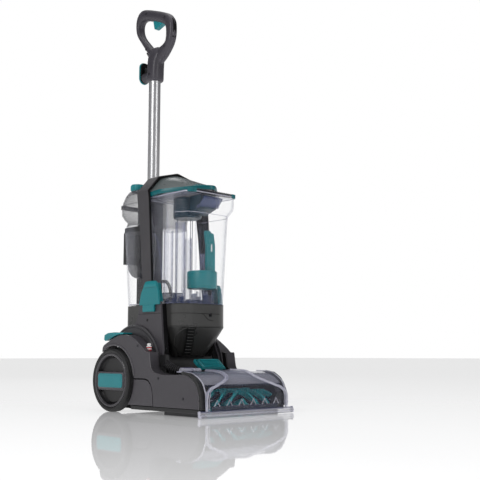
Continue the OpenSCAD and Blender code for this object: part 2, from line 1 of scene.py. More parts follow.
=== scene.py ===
import bpy, bmesh, math, random
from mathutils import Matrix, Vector


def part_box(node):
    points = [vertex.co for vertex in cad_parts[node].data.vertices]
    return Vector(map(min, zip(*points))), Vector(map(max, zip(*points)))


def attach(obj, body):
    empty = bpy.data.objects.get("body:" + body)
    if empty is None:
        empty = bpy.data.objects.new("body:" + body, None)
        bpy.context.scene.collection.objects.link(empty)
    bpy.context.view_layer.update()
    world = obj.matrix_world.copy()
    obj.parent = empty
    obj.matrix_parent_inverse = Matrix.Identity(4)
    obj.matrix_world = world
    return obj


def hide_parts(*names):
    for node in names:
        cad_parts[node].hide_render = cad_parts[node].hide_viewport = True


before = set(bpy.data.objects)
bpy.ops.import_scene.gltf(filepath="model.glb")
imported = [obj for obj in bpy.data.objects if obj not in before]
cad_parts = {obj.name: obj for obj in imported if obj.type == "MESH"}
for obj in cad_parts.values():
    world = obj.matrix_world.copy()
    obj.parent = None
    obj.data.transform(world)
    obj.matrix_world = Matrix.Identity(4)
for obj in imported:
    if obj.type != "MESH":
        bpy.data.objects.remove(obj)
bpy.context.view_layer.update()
sc = bpy.context.scene
MM = 0.001
random.seed(7)


# ---------- materials ----------

def new_material(name, color, rough, metal=0.0):
    m = bpy.data.materials.new(name)
    m.use_nodes = True
    b = m.node_tree.nodes["Principled BSDF"]
    b.inputs["Base Color"].default_value = (*color, 1)
    b.inputs["Roughness"].default_value = rough
    b.inputs["Metallic"].default_value = metal
    return m, m.node_tree, b


def node(nt, kind, **props):
    n = nt.nodes.new(kind)
    for k, v in props.items():
        if k in n.inputs:
            n.inputs[k].default_value = v
        else:
            setattr(n, k, v)
    return n


def ramp(nt, stops):
    r = nt.nodes.new("ShaderNodeValToRGB")
    e = r.color_ramp.elements
    while len(e) < len(stops):
        e.new(0.5)
    for el, (p, c) in zip(e, stops):
        el.position = p
        el.color = c if len(c) == 4 else (*c, 1)
    return r


def link(a, out, b, into):
    a.id_data.links.new(a.outputs[out], b.inputs[into])


def remap(a, out, lo, hi, b, into):
    """Feeds a's output, stretched from 0..1 to lo..hi, to b's input."""
    n = node(a.id_data, "ShaderNodeMapRange", **{"To Min": lo, "To Max": hi})
    link(a, out, n, "Value")
    link(n, "Result", b, into)


def noise(nt, scale, detail, stretch=None):
    """Noise in the object's own space, drawn out along an axis when stretch is given."""
    n = node(nt, "ShaderNodeTexNoise", Scale=scale, Detail=detail)
    co = node(nt, "ShaderNodeTexCoord")
    if stretch:
        mp = node(nt, "ShaderNodeMapping", Scale=stretch)
        link(co, "Object", mp, "Vector")
        link(mp, "Vector", n, "Vector")
    else:
        link(co, "Object", n, "Vector")
    return n


def relief(b, texture, strength, depth):
    n = node(b.id_data, "ShaderNodeBump", Strength=strength, Distance=depth)
    link(texture, "Fac", n, "Height")
    link(n, "Normal", b, "Normal")


def moulded(name, color, rough=0.5, grain=1400, bump=0.12, vary=0.12, edge=0.0, gloss=0.35):
    """Moulded plastic: fine grain, cloudy colour and roughness, edges painted lighter as a
    highlight.
    """
    m, nt, b = new_material(name, color, rough)
    b.inputs["Specular IOR Level"].default_value = gloss
    cloud = noise(nt, 22.0, 4.0)
    out = ramp(nt, [(0.3, tuple(c * (1 - vary) for c in color)),
                    (0.7, tuple(min(1, c * (1 + vary)) for c in color))])
    link(cloud, "Fac", out, "Fac")
    # painted highlight: sharp edges found by Pointiness get a lighter colour, stronger with edge
    if edge:
        edge_highlight_mask = ramp(nt, [(0.5, (0, 0, 0)), (0.62, (1, 1, 1))])
        link(node(nt, "ShaderNodeNewGeometry"), "Pointiness", edge_highlight_mask, "Fac")
        mix = node(nt, "ShaderNodeMix", data_type="RGBA")
        mix.inputs["B"].default_value = (*[min(1, c * (1 + edge) + 0.01 * edge) for c in color], 1)
        link(edge_highlight_mask, "Color", mix, "Factor")
        link(out, "Color", mix, "A")
        link(mix, "Result", b, "Base Color")
    else:
        link(out, "Color", b, "Base Color")
    remap(cloud, "Fac", max(0.02, rough - 0.06), min(1, rough + 0.08), b, "Roughness")
    relief(b, noise(nt, float(grain), 2.0), bump, 0.0004)
    return m


def clear(name, tint, face=0.035, edge=0.8, dark=(0.16, 0.17, 0.30), rough=0.06, curve=1.7):
    """Clear moulding: see-through face on, darker and more solid towards its edges."""
    m, nt, b = new_material(name, tint, rough)
    b.inputs["Specular IOR Level"].default_value = 0.8
    lw = node(nt, "ShaderNodeLayerWeight", Blend=0.35)
    steep = node(nt, "ShaderNodeMath", operation="POWER")
    steep.inputs[1].default_value = curve
    link(lw, "Facing", steep, 0)
    remap(steep, "Value", face, edge, b, "Alpha")
    between = tuple((a + c) / 2 for a, c in zip(tint, dark))
    cr = ramp(nt, [(0.0, tint), (0.55, between), (0.95, dark)])
    link(lw, "Facing", cr, "Fac")
    link(cr, "Color", b, "Base Color")
    relief(b, noise(nt, 6.0, 1.0), 0.25, 0.002)
    return m


def brushed(name, color, rough, along="Z", metal=1.0):
    """Drawn metal with fine lines along one axis."""
    m, nt, b = new_material(name, color, rough, metal)
    lines = noise(nt, 1.0, 3.0, (900, 900, 6) if along == "Z" else (6, 900, 900))
    remap(lines, "Fac", rough * 0.7, rough * 1.4, b, "Roughness")
    relief(b, lines, 0.08, 0.0003)
    return m


M = {
    "shell": moulded("charcoal_shell", (0.040, 0.037, 0.043), 0.36, 1500, 0.22, 0.08, 1.2),
    "shroud": moulded("shroud_grey", (0.030, 0.029, 0.032), 0.40, 1500, 0.2, 0.1, 1.4),
    "black": moulded("black_plastic", (0.008, 0.008, 0.0085), 0.38, 1300, 0.2, 0.15, 1.2),
    "deep": moulded("deep_black", (0.002, 0.002, 0.0025), 0.6, 900, 0.2, 0.2, gloss=0.15),
    "cradle": moulded("cradle_charcoal", (0.018, 0.018, 0.0175), 0.28, 1300, 0.12, 0.1, 1.2),
    "panel": moulded("panel_charcoal", (0.008, 0.0085, 0.008), 0.42, 1300, 0.15, 0.1, 1.0),
    "grip": moulded("grip_charcoal", (0.036, 0.033, 0.041), 0.36, 1600, 0.2, 0.08, 1.0),
    "strap": moulded("strap_grey", (0.044, 0.042, 0.046), 0.55, 700, 0.6, 0.12, 0.6),
    "lid": moulded("lid_grey", (0.085, 0.102, 0.102), 0.28, 1500, 0.06, 0.06, 0.3),
    "teal": moulded("teal_plastic", (0.006, 0.165, 0.185), 0.32, 1300, 0.08, 0.07, 0.5),
    "teal_dark": moulded("teal_deep", (0.002, 0.095, 0.108), 0.26, 1300, 0.05, 0.08, 0.5),
    "teal_ink": moulded("teal_ink", (0.002, 0.022, 0.040), 0.3, 1300, 0.0, 0.1),
    "tyre": moulded("tyre_black", (0.006, 0.006, 0.0065), 0.5, 900, 0.3, 0.15, 1.2),
    "hub": moulded("hub_grey", (0.032, 0.030, 0.034), 0.25, 1300, 0.08, 0.1, 1.2),
    # painted shade: near-black for the hub's recessed dish
    "hub_recess_painted_shade": moulded("hub_recess_painted_shade", (0.006, 0.0055, 0.0065), 0.35, 1300, 0.1, 0.1),
    # painted highlight: light grey for the thin rods along the cover and arch edges
    "edge": moulded("painted_highlight_grey", (0.17, 0.165, 0.175), 0.3, 1300, 0.05, 0.1),
    # painted reflection: silver-grey of the hood seen under the window's top
    "hood": moulded("hood_painted_reflection", (0.16, 0.16, 0.19), 0.22, 1300, 0.05, 0.1, 0.8),
    "core": moulded("brush_core", (0.008, 0.014, 0.036), 0.3, 900, 0.1, 0.2),
    "tuft": moulded("teal_tufts", (0.006, 0.260, 0.300), 0.55, 5000, 0.5, 0.3),
    "white": moulded("white_plastic", (0.80, 0.79, 0.78), 0.3, 1300, 0.05, 0.03),
    "red": moulded("red_ring", (0.50, 0.02, 0.03), 0.35, 1300, 0.05, 0.05),
    "rubber": moulded("black_rubber", (0.010, 0.010, 0.011), 0.45, 1100, 0.2, 0.2, 1.5),
    "screw": brushed("dark_screw", (0.05, 0.05, 0.055), 0.35, "Z"),
    "steel": brushed("satin_steel", (0.45, 0.45, 0.47), 0.3, "X"),
    "alu": brushed("drawn_aluminium", (0.50, 0.50, 0.51), 0.3, "Z", 0.85),
    "clear": clear("clear_tank", (0.80, 0.82, 0.90), 0.012, 0.8, (0.14, 0.15, 0.28), curve=2.4),
    "clear_head": clear("clear_nozzle", (0.42, 0.44, 0.54), 0.004, 0.8, (0.30, 0.31, 0.42), 0.05,
                        curve=2.6),
    "clear_edge": clear("clear_bead", (0.80, 0.80, 0.88), 0.38, 0.95, (0.12, 0.11, 0.30), 0.08,
                        curve=1.0),
    "lip": clear("clear_lip", (0.70, 0.70, 0.72), 0.22, 0.95, (0.10, 0.09, 0.24), 0.05, curve=1.0),
    "smoke": clear("smoky_tank", (0.16, 0.16, 0.18), 0.20, 0.9, (0.03, 0.03, 0.045)),
    "smoke_dark": clear("smoky_block", (0.028, 0.028, 0.034), 0.66, 0.9, (0.02, 0.02, 0.03)),
    "duct": clear("clear_duct", (0.42, 0.46, 0.72), 0.05, 0.95, (0.01, 0.015, 0.16), 0.06,
                  curve=1.5),
    "ink": clear("blue_clear", (0.04, 0.07, 0.20), 0.45, 0.92, (0.01, 0.015, 0.08), 0.08,
                 curve=1.0),
}

# the two sides: sign of x and name
SIDES = ((-1, "left"), (1, "right"))


# ---------- mesh helpers (all sizes in mm) ----------

def build(name, verts, faces, mat, body, bevel=0, seg=3, smooth=35, stands=(), slot=None):
    me = bpy.data.meshes.new(name)
    me.from_pydata([Vector(v) * MM for v in verts], [], faces)
    bm = bmesh.new()
    bm.from_mesh(me)
    bmesh.ops.remove_doubles(bm, verts=bm.verts, dist=1e-6)
    bmesh.ops.recalc_face_normals(bm, faces=bm.faces)
    bm.to_mesh(me)
    bm.free()
    for p in me.polygons:
        p.use_smooth = True
    me.set_sharp_from_angle(angle=math.radians(smooth))
    o = bpy.data.objects.new(name, me)
    sc.collection.objects.link(o)
    me.materials.append(M[mat])
    if bevel:
        b = o.modifiers.new("bevel", "BEVEL")
        b.width, b.segments, b.limit_method = bevel * MM, seg, "ANGLE"
        b.angle_limit = math.radians(40)
        b.harden_normals = True
    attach(o, body)
    if stands:
        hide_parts(*stands)
    return o


def spline(pts, n=6, closed=False):
    """Smooth curve through points of any dimension."""
    out, m = [], len(pts)
    for i in range(m if closed else m - 1):
        q = [pts[(i + k) % m] if closed else pts[min(max(i + k, 0), m - 1)] for k in (-1, 0, 1, 2)]
        for j in range(n):
            t = j / n
            out.append(tuple(0.5 * (2 * b + (c - a) * t + (2 * a - 5 * b + 4 * c - d) * t * t
                                    + (3 * b - a - 3 * c + d) * t ** 3) for a, b, c, d in zip(*q)))
    if not closed:
        out.append(tuple(pts[-1]))
    return out


def fillet(pts, r=4, n=5):
    """Closed outline with each corner rounded: a point is (a, b) or (a, b, its own radius)."""
    out, m = [], len(pts)
    for i in range(m):
        p = Vector(pts[i][:2])
        rad = pts[i][2] if len(pts[i]) > 2 else r
        a, b = Vector(pts[i - 1][:2]) - p, Vector(pts[(i + 1) % m][:2]) - p
        la, lb = a.length, b.length
        a.normalize()
        b.normalize()
        ang = a.angle(b, math.pi)
        if rad <= 0 or ang > math.radians(178):
            out.append(tuple(p))
            continue
        d = min(rad / math.tan(ang / 2), la * 0.48, lb * 0.48)
        for k in range(n + 1):
            t = k / n
            q = p + a * d * (1 - t) ** 2 + b * d * t ** 2
            out.append(tuple(q))
    return out


def rect(a0, b0, a1, b1, r=4, n=5):
    """Rectangle with each corner rounded."""
    return fillet([(a0, b0), (a1, b0), (a1, b1), (a0, b1)], r, n)


def arc(cy, cz, r, a0, a1, n=16):
    """Points round a centre from angle a0 to a1, in degrees."""
    return [(cy + r * math.cos(math.radians(a0 + (a1 - a0) * k / n)),
             cz + r * math.sin(math.radians(a0 + (a1 - a0) * k / n))) for k in range(n + 1)]


AXES = {"x": lambda a, b, h: (h, a, b), "y": lambda a, b, h: (a, h, b), "z": lambda a, b,
        h: (a, b, h)}


def prism(name, outline, h0, h1, mat, body, axis="x", **kw):
    """Outline extruded along an axis from h0 to h1."""
    at, n = AXES[axis], len(outline)
    verts = [at(a, b, h) for h in (h0, h1) for a, b in outline]
    faces = [tuple(range(n)), tuple(range(n, 2 * n))]
    faces += [(i, (i + 1) % n, n + (i + 1) % n, n + i) for i in range(n)]
    return build(name, verts, faces, mat, body, **kw)


def loft(name, rings, mat, body, caps=True, closed=False, **kw):
    """Skin over rings of equal length."""
    n, m = len(rings[0]), len(rings)
    verts = [p for r in rings for p in r]
    faces = []
    for k in range(m if closed else m - 1):
        a, b = k * n, ((k + 1) % m) * n
        faces += [(a + i, a + (i + 1) % n, b + (i + 1) % n, b + i) for i in range(n)]
    if caps and not closed:
        faces += [tuple(range(n)), tuple(range((m - 1) * n, m * n))]
    return build(name, verts, faces, mat, body, **kw)


def lathe(name, profile, mat, body, axis="x", at=(0, 0), n=72, closed=True, **kw):
    """Profile of (radius, height) turned round an axis through at. Closed, it makes a ring."""
    pos = AXES[axis]
    rings = []
    for k in range(n):
        c, s = math.cos(2 * math.pi * k / n), math.sin(2 * math.pi * k / n)
        rings.append([pos(at[0] + r * c, at[1] + r * s, h) for r, h in profile])
    m = len(profile)
    verts = [p for r in rings for p in r]
    faces = []
    for k in range(n):
        a, b = k * m, ((k + 1) % n) * m
        for i in range(m if closed else m - 1):
            faces.append((a + i, a + (i + 1) % m, b + (i + 1) % m, b + i))
    return build(name, verts, faces, mat, body, **kw)


def tube(name, path, radius, mat, body, n=12, flat=1.0, **kw):
    """Round or oval rod along a path; radius is a number or one per point."""
    pts = [Vector(p) for p in path]
    up = Vector((0, 0, 1))
    rings = []
    for i, p in enumerate(pts):
        t = (pts[min(i + 1, len(pts) - 1)] - pts[max(i - 1, 0)]).normalized()
        side = t.cross(up)
        side = side.normalized() if side.length > 0.05 else Vector((1, 0, 0))
        nor = side.cross(t).normalized()
        r = radius[i] if isinstance(radius, (list, tuple)) else radius
        rings.append([tuple(p + side * r * math.cos(a) + nor * r * flat * math.sin(a))
                      for a in (2 * math.pi * k / n for k in range(n))])
    return loft(name, rings, mat, body, **kw)


def rrect(x0, y0, x1, y1, r, z, n=8, notch=None):
    """Round-cornered ring at height z from the front left; notch=(half, y) cuts the rear."""
    pts = []
    for cx, cy, a0 in ((x0 + r, y0 + r, 180), (x1 - r, y0 + r, 270), (x1 - r, y1 - r, 0)):
        pts += arc(cx, cy, r, a0, a0 + 90, n)
    if notch:
        h, y = notch
        pts += [(h, y1), (h, y), (-h, y), (-h, y1)]
    pts += arc(x0 + r, y1 - r, r, 90, 180, n)
    return [(a, b, z) for a, b in pts]


def walled(name, rings_out, rings_in, mat, body, **kw):
    """Open-topped vessel: up the outside, over the rim, down the inside."""
    return loft(name, rings_out + rings_in[::-1], mat, body, **kw)


def both(make):
    for s, side in SIDES:
        make(s, side)


def flip(s, pair):
    return (pair[0] * s, pair[1] * s)


# ---------- head ----------

def middle(name):
    """Middle of a CAD node's box in mm, to 0.1 mm."""
    lo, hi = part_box(name)
    return [round((a + b) / 2 / MM, 1) for a, b in zip(lo, hi)]


WY, WZ = middle("left_tyre")[1:]
# the shroud is cut off below, so only its box's y is centred on the pivot
PY, PZ = middle("left_pivot_shroud")[1], 110
POLE_Y = middle("pole")[1]
FRONT = [(-141, 94), (-155, 93), (-168, 89.5), (-183, 81), (-193, 68), (-200, 53), (-203, 36),
         (-202, 19)]
TOP = [(167, 146), (163, 160), (148, 168), (136, 173), (118, 180), (96, 186), (73, 187), (49, 183),
       (26, 171), (2, 155), (-10, 145.5), (-21, 144.5), (-24, 142), (-30, 110), (-38, 101),
       (-50, 96.5), (-66, 94), (-84, 92.3), (-110, 92.8)]
SEAM = [(-43, 19), (-40.5, 45), (-37, 60), (-31, 72), (-22, 80), (-8, 83), (20, 83)]
cover_line = (SEAM + arc(WY, WZ, 84, 176, 62, 20) + spline(TOP + FRONT[:1], 3)[:-1]
              + spline(FRONT, 4))
skirt_line = ([(-40, 19.5), (-37.8, 45), (-34.4, 59), (-28.6, 69.5), (-20, 77), (-7.5, 80),
               (34.6, 80)] + arc(WY, WZ, 83.4, 178, 222, 10) + [(56, 19.5)])


def head_side(s, side):
    prism(f"{side}_cover_panel", cover_line, *flip(s, (112.1, 140)), "shell", "base", bevel=4.5,
          seg=5, smooth=50, stands=[f"{side}_side_cover"])
    prism(f"{side}_skirt_panel", skirt_line, *flip(s, (112.1, 139.3)), "shell", "base", bevel=3.2,
          seg=4, smooth=50, stands=[f"{side}_wheel_skirt"])
    # dark liner behind the seam and inside the wheel arch
    prism(f"{side}_seam_liner", [(-55, 20), (-50, 60), (-30, 88), (30, 90)]
          + arc(WY, WZ, 85.5, 170, 225, 10) + [(50, 20)], *flip(s, (113, 132)), "deep", "base")
    # raised lip round the wheel arch
    lip = arc(WY, WZ, 90, 172, 64, 26) + arc(WY, WZ, 84.5, 64, 172, 26)
    prism(f"{side}_arch_lip", lip, *flip(s, (134, 141.2)), "shell", "base", bevel=1.6, seg=3,
          smooth=50)
    # thin light-grey rods along the cover's top and front and round the wheel arch: painted
    # highlight lines
    tube(f"{side}_cover_highlight_line", [(s * 138.6, y, z - 0.7) for y,
                                z in spline(TOP[2:] + FRONT[:1], 3)[:-1] + spline(FRONT, 4)], 0.85,
         "edge", "base", n=8, smooth=60)
    tube(f"{side}_arch_edge", [(s * 140.6, y, z) for y, z in arc(WY, WZ, 85, 172, 66, 30)], 0.7,
         "edge", "base", n=8, smooth=60)
    # black bumper band round the front of the cover
    inner = [(y - 0.5, z + 0.3) for y, z in spline(FRONT[1:], 3)]
    outer = [(-211, 19), (-211.5, 36), (-209, 52), (-202, 69), (-191, 84), (-173, 95), (-155, 98.5),
             (-138, 99)]
    prism(f"{side}_bumper_band", inner + outer, *flip(s, (124, 138.5)), "black", "base", bevel=1.5,
          smooth=50)
    # under edge of the head
    prism(f"{side}_sill", fillet([(-200, 9), (48, 9), (48, 18.4), (-201, 18.4)], 3),
          *flip(s, (108.2, 137)), "black", "base", bevel=1.5)
    lathe(f"{side}_shroud_disc", [(30, 107.8), (94, 107.8), (96.5, 106.2), (98.5, 106.6),
                                  (101.5, 106.2), (102.8, 104.6), (102.8, 101.2),
                                  (30, 101.2)] if s > 0 else [(30, -107.8), (94, -107.8),
                                                              (96.5, -106.2), (98.5, -106.6),
                                                              (101.5, -106.2), (102.8, -104.6),
                                                              (102.8, -101.2), (30, -101.2)],
          "shroud", "base", at=(PY, PZ), n=128, smooth=25, stands=[f"{side}_pivot_shroud"])


both(head_side)


def wheel(s, side):
    body = f"{side}_wheel"

    def turn(name, prof, mat, **kw):
        lathe(f"{side}_{name}", [(r, x * s) for r, x in prof], mat, body, at=(WY, WZ), n=128,
              smooth=28, **kw)

    tread = [(74.6, 148.6), (76.4, 146.8)]
    for x in (144.2, 139.6, 135, 130.4):
        tread += [(76.9, x + 1.6), (76.9, x - 0.2), (75.6, x - 0.9), (75.6, x - 1.9)]
    turn("tyre_ring", [(66.4, 127), (66.4, 147.4), (69, 149.2), (72.5, 149.6)] + tread
         + [(74, 126.6)], "tyre", stands=[f"{side}_tyre"])
    turn("hub_rim", [(58.5, 133), (58.5, 146), (59.6, 148), (61.5, 148.9), (64.4, 148.7),
                     (65.8, 147.4), (66.3, 145), (66.3, 128), (5.2, 128), (5.2, 133)], "hub",
         stands=[f"{side}_wheel_hub"])
    # the dish's near-black colour is painted shade in the hub's recess
    turn("hub_dish", [(57.9, 134.2), (57.9, 145.5), (56.2, 141), (53, 138), (30, 137.2), (9, 137.2),
                      (9, 134.2)], "hub_recess_painted_shade")
    # bar across the hub with bevelled long edges, its frame and the blank plate
    reach, above, below = 58.2, 21, 25
    ends = arc(WY, WZ, reach, math.degrees(math.asin(above / reach)),
               -math.degrees(math.asin(below / reach)), 10)
    bar = ends + [(2 * WY - y, z) for y, z in ends[::-1]]
    prism(f"{side}_hub_bar", bar, *flip(s, (136, 147.2)), "hub", body, bevel=2.4, seg=3)
    prism(f"{side}_plate_frame", rect(WY - 54, WZ - 21, WY + 54, WZ + 19, 8),
          *flip(s, (146.8, 148.2)), "shell", body, bevel=0.6, slot="black_plastic")
    prism(f"{side}_name_plate", rect(WY - 50, WZ - 18, WY + 50, WZ + 16, 8),
          *flip(s, (147.8, 149.8)), "teal", body, bevel=0.9, seg=3, stands=[f"{side}_hub_plate"])
    prism(f"{side}_plate_field", rect(WY - 44, WZ - 12.5, WY + 44, WZ + 10.5, 5),
          *flip(s, (149.4, 150)), "teal", body, bevel=0.3, seg=2)


both(wheel)

# recline pedal: padded top, lug down to its pin
prism("pedal_pad", fillet([(82, 189.5, 0.5), (104, 188.5, 10), (126, 183, 20), (148, 175.5, 20),
                           (158, 173, 3), (162.5, 177, 3), (161, 188, 3), (146, 193, 8),
                           (118, 194.3, 10), (82, 192.7, 0.5)], 3), -138, -110, "teal", "pedal",
      bevel=1.4, seg=3, stands=["recline_pedal"])
prism("pedal_lug", fillet([(97, 156), (111, 156), (116, 187), (92, 190)], 3), -131, -119,
      "teal_dark", "pedal", bevel=0.8)

# ---------- nozzle ----------

NOZ = spline([(-216, 15), (-215.4, 32), (-215, 49), (-212, 58), (-204, 75), (-190, 87), (-171, 96),
              (-150, 99.5), (-132, 100), (-115, 100)], 5)
ARC = [0.0]
for p, q in zip(NOZ, NOZ[1:]):
    ARC.append(ARC[-1] + math.dist(p, q))


def on_nozzle(s, out=0.0):
    """Point (y, z) at arc length s up the nozzle's front, pushed outward."""
    s = min(max(s, 0), ARC[-1] - 1e-6)
    i = max(k for k in range(len(ARC) - 1) if ARC[k] <= s)
    t = (s - ARC[i]) / (ARC[i + 1] - ARC[i])
    (a, b), (c, d) = NOZ[i], NOZ[i + 1]
    ln = math.dist((a, b), (c, d))
    return a + (c - a) * t - out * (d - b) / ln, b + (d - b) * t + out * (c - a) / ln


def sheet_on_nozzle(name, edge, lift, thick, mat, **kw):
    """Sheet over the nozzle between -edge(s) and +edge(s), lifted off it."""
    rows, steps, cols = [], 44, 16
    for k in range(steps + 1):
        s = ARC[-1] * k / steps
        w = edge(s)
        ring = []
        for lv in (lift, lift + thick):
            y, z = on_nozzle(s, lv)
            xs = [w * (-1 + 2 * j / cols) for j in range(cols + 1)]
            ring += [(x, y, z) for x in (xs if lv == lift else xs[::-1])]
        rows.append(ring)
    return loft(name, rows, mat, "nozzle", **kw)


sheet_on_nozzle("nozzle_window", lambda s: 130 - 3.5 * (s / ARC[-1]) ** 3, -2.8, 2.8, "clear_head",
                smooth=60, bevel=0.9, seg=2, stands=["nozzle_cover"])
EDGE = [(0, 128), (26, 128), (38, 125), (47, 115), (56, 92), (64, 70), (72, 55), (84, 46),
        (100, 44), (120, 46), (140, 44), (ARC[-1], 40)]


def channel_edge(s):
    for (a, wa), (b, wb) in zip(EDGE, EDGE[1:]):
        if s <= b:
            t = (s - a) / (b - a)
            t = t * t * (3 - 2 * t)
            return wa + (wb - wa) * t
    return EDGE[-1][1]


sheet_on_nozzle("suction_window", lambda s: channel_edge(s) - 1.5, 1.6, 2.0, "clear_head",
                smooth=60, stands=["suction_channel"])
for s, side in SIDES:
    path = []
    for k in range(61):
        a = ARC[-1] * k / 60
        y, z = on_nozzle(a, 1.8)
        path.append((s * channel_edge(a), y, z))
    tube(f"{side}_bead_line", [(p[0] + s * 2.6, p[1] - 1.4, p[2] + 1.6) for p in path[3:]], 0.6,
         "ink", "nozzle", n=8, smooth=60, slot="clear_plastic")
    tube(f"{side}_channel_bead", path, 3.3, "clear_edge", "nozzle", n=10, smooth=60)
    path = [(p[0] - s * 7, *on_nozzle(ARC[-1] * k / 60, 2.9)) for k, p in enumerate(path)]
    tube(f"{side}_channel_rib", path, 0.9, "clear_edge", "nozzle", n=8, smooth=60)
    path = [(s * 128.3, *on_nozzle(ARC[-1] * k / 60, -0.4)) for k in range(61)]
    tube(f"{side}_window_edge", path, 1.6, "clear_edge", "nozzle", n=8, smooth=60)

prism("front_lip", fillet([(-213.2, 15, 1), (-216.6, 14.5, 2), (-221.8, 11, 2), (-221.8, 7, 2),
                           (-219, 5, 2), (-219.5, 1.5, 1), (-214, 1.2, 1), (-213.2, 8, 1)], 1),
      -149, 149, "lip", "nozzle", bevel=0.6, seg=2, stands=["nozzle_lip"])
for name, y, z, r in (("top", -217.5, 14.4, 0.7), ("mid", -221.0, 8.2, 0.6),
                      ("low", -218.4, 2.6, 0.7)):
    tube(f"lip_line_{name}", [(-149.2, y, z), (0, y, z), (149.2, y, z)], r, "ink", "nozzle", n=8,
         slot="clear_plastic")
for s, side in SIDES:
    prism(f"{side}_lip_end", fillet([(-221.8, 2), (-213, 1), (-211, 15), (-218, 17)], 2),
          *flip(s, (147, 150)), "clear_edge", "nozzle", bevel=0.7)

# dark strip with clear triangles behind the front wall; hood over the brushes, its silver-grey a
# painted reflection under the window's top
prism("dark_strip", rect(-106, 6, 106, 25, 1), -209.4, -207.8, "core", "nozzle", axis="y",
      bevel=0.4, stands=["toothed_strip"])
for i in range(6):
    x = -92 + 38 * i
    tube(f"tooth_{i}", [(x - 9, -211, 24), (x - 4.5, -211, 30), (x, -211, 38), (x + 4.5, -211, 30),
                        (x + 9, -211, 24)], 1.1, "clear_edge", "nozzle", n=8)
hood = [on_nozzle(a, -6) for a in [62 + (ARC[-1] - 64) * k / 20 * 0.57 for k in range(21)]]
hood_low = [on_nozzle(a, -7.6) for a in [62 + (ARC[-1] - 64) * k / 20 * 0.57 for k in range(21)]]
prism("brush_hood_painted_reflection", hood + hood_low[::-1], -126, 126, "hood", "nozzle", bevel=0.5, smooth=60)
for k in range(28):
    x = -116 + k * 8.6
    a = on_nozzle(60, -5.2)
    prism(f"hood_comb_{k}", rect(x - 1.6, a[1] - 3, x + 1.6, a[1] + 2, 0.8, 2), a[0] - 1, a[0] + 1,
          "core", "nozzle", axis="y")


def brush(name, phase):
    """Roll core and helical rows of nylon tufts that meet in a V at the middle."""
    body = name
    _, y, z = middle(f"{name}_core")
    prof = [(9.8, -103), (9.8, 103), (5, 103.4), (5, 114), (0.5, 114), (0.5, -107), (5, -107),
            (5, -103.4)]
    lathe(f"{name}_roll", prof, "core", body, at=(y, z), n=48, smooth=30, stands=[f"{name}_core"])
    tufts(name + "_bristles", y, z, body, phase, TUFT_REACH, TUFT_ROWS, 46, "tuft",
          stands=[f"{name}_tufts"])
    tufts(name + "_stubs", y, z, body, phase + BETWEEN_ROWS, STUB_REACH, TUFT_ROWS, 40, "core",
          slot="teal_bristle")


TUFT_REACH, STUB_REACH = 27.4, 20
TUFT_ROWS = 5
BETWEEN_ROWS = 0.63
TUFT_HALF = 99  # half the length of a roll's bristled part
TUFT_TWIST = 3.4  # how far a row turns from the middle to its end, in radians
TUFT_SIDES = 7


def tufts(name, y, z, body, phase, reach, rows, count, mat, **kw):
    """Rows of tapered bundles that lean a little at random; each is a stack of three rings."""
    verts, faces, n = [], [], TUFT_SIDES
    for r in range(rows):
        for k in range(count):
            x = -TUFT_HALF + 2 * TUFT_HALF * k / (count - 1)
            a = phase + 2 * math.pi * r / rows + abs(x) / TUFT_HALF * TUFT_TWIST
            a += random.uniform(-0.03, 0.03)
            u = Vector((0, math.cos(a), math.sin(a)))
            v = Vector((0, -math.sin(a), math.cos(a)))
            base = len(verts)
            for rad, wide in ((9, 1.7), (reach * 0.7, 2.2), (reach, 2.9)):
                jx = random.uniform(-0.4, 0.4) * (rad > 10)
                for j in range(n):
                    b = 2 * math.pi * j / n
                    verts.append(tuple(Vector((x + jx, y, z)) + u
                                       * (rad + (random.uniform(-0.9, 0.5) if rad == reach else 0))
                                       + Vector((wide * math.cos(b), 0, 0)) + v * wide * 1.2
                                       * math.sin(b)))
            for lv in (base, base + n):
                faces += [(lv + j, lv + (j + 1) % n, lv + n + (j + 1) % n, lv + n + j)
                          for j in range(n)]
            faces += [tuple(base + j for j in range(n)), tuple(base + 2 * n + j for j in range(n))]
    build(name, verts, faces, mat, body, smooth=40, **kw)


brush("front_brush", 0.4)
brush("rear_brush", 0.9)

# nozzle latch: ribbed pad in a raised frame, finger lip behind
latch = [(-103, 105, 1.5), (-99, 109.5, 3), (-77, 127.5, 3), (-72.5, 127, 2), (-67.8, 120.5, 2),
         (-80, 108.5, 3), (-97, 102, 2)]
prism("latch_pad", fillet(latch, 2), -36.5, 36.5, "teal_dark", "latch", bevel=2.6, seg=4, smooth=50,
      stands=["nozzle_latch"])
up = Vector((0, 22, 18)).normalized()
out = Vector((0, -18, 22)).normalized()
for i in range(5):
    c = Vector((0, -98.2, 110.4)) + up * (3 + 5.2 * i)
    tube(f"latch_rib_{i}", [tuple(c + out * 0.5 + Vector((x, 0, 0)))
                            for x in (-27, -26, 0, 26, 27)], [0.4, 1.3, 1.3, 1.3, 0.4], "teal",
         "latch", n=8)
frame_path = []
for a, b in rect(-32, 0, 32, 27.5, 4, 4):
    frame_path.append(tuple(Vector((a, -99.3, 109.3)) + up * (b + 0.6) + out * 0.2))
tube("latch_frame", frame_path + frame_path[:1], 1.1, "teal", "latch", n=8)
prism("latch_tab", fillet([(-82, 118), (-68.5, 129), (-63.5, 122), (-78, 110)], 3), -37.5, -24,
      "teal", "latch", bevel=2, seg=3)

# clear port on top of the nozzle, beside the latch
for k, (x0, x1, mat) in enumerate(((-96, -62, "clear_edge"), (-76, -66, "ink"),
                                   (-60, -44, "clear_edge"))):
    prism(f"clear_port_{k}", fillet([(-106, 100.2), (-84, 98.5), (-80, 103), (-88, 109 - 2 * k),
                                     (-100, 107.5)], 3), x0, x1, mat, "nozzle", bevel=1.2,
          slot="clear_plastic")

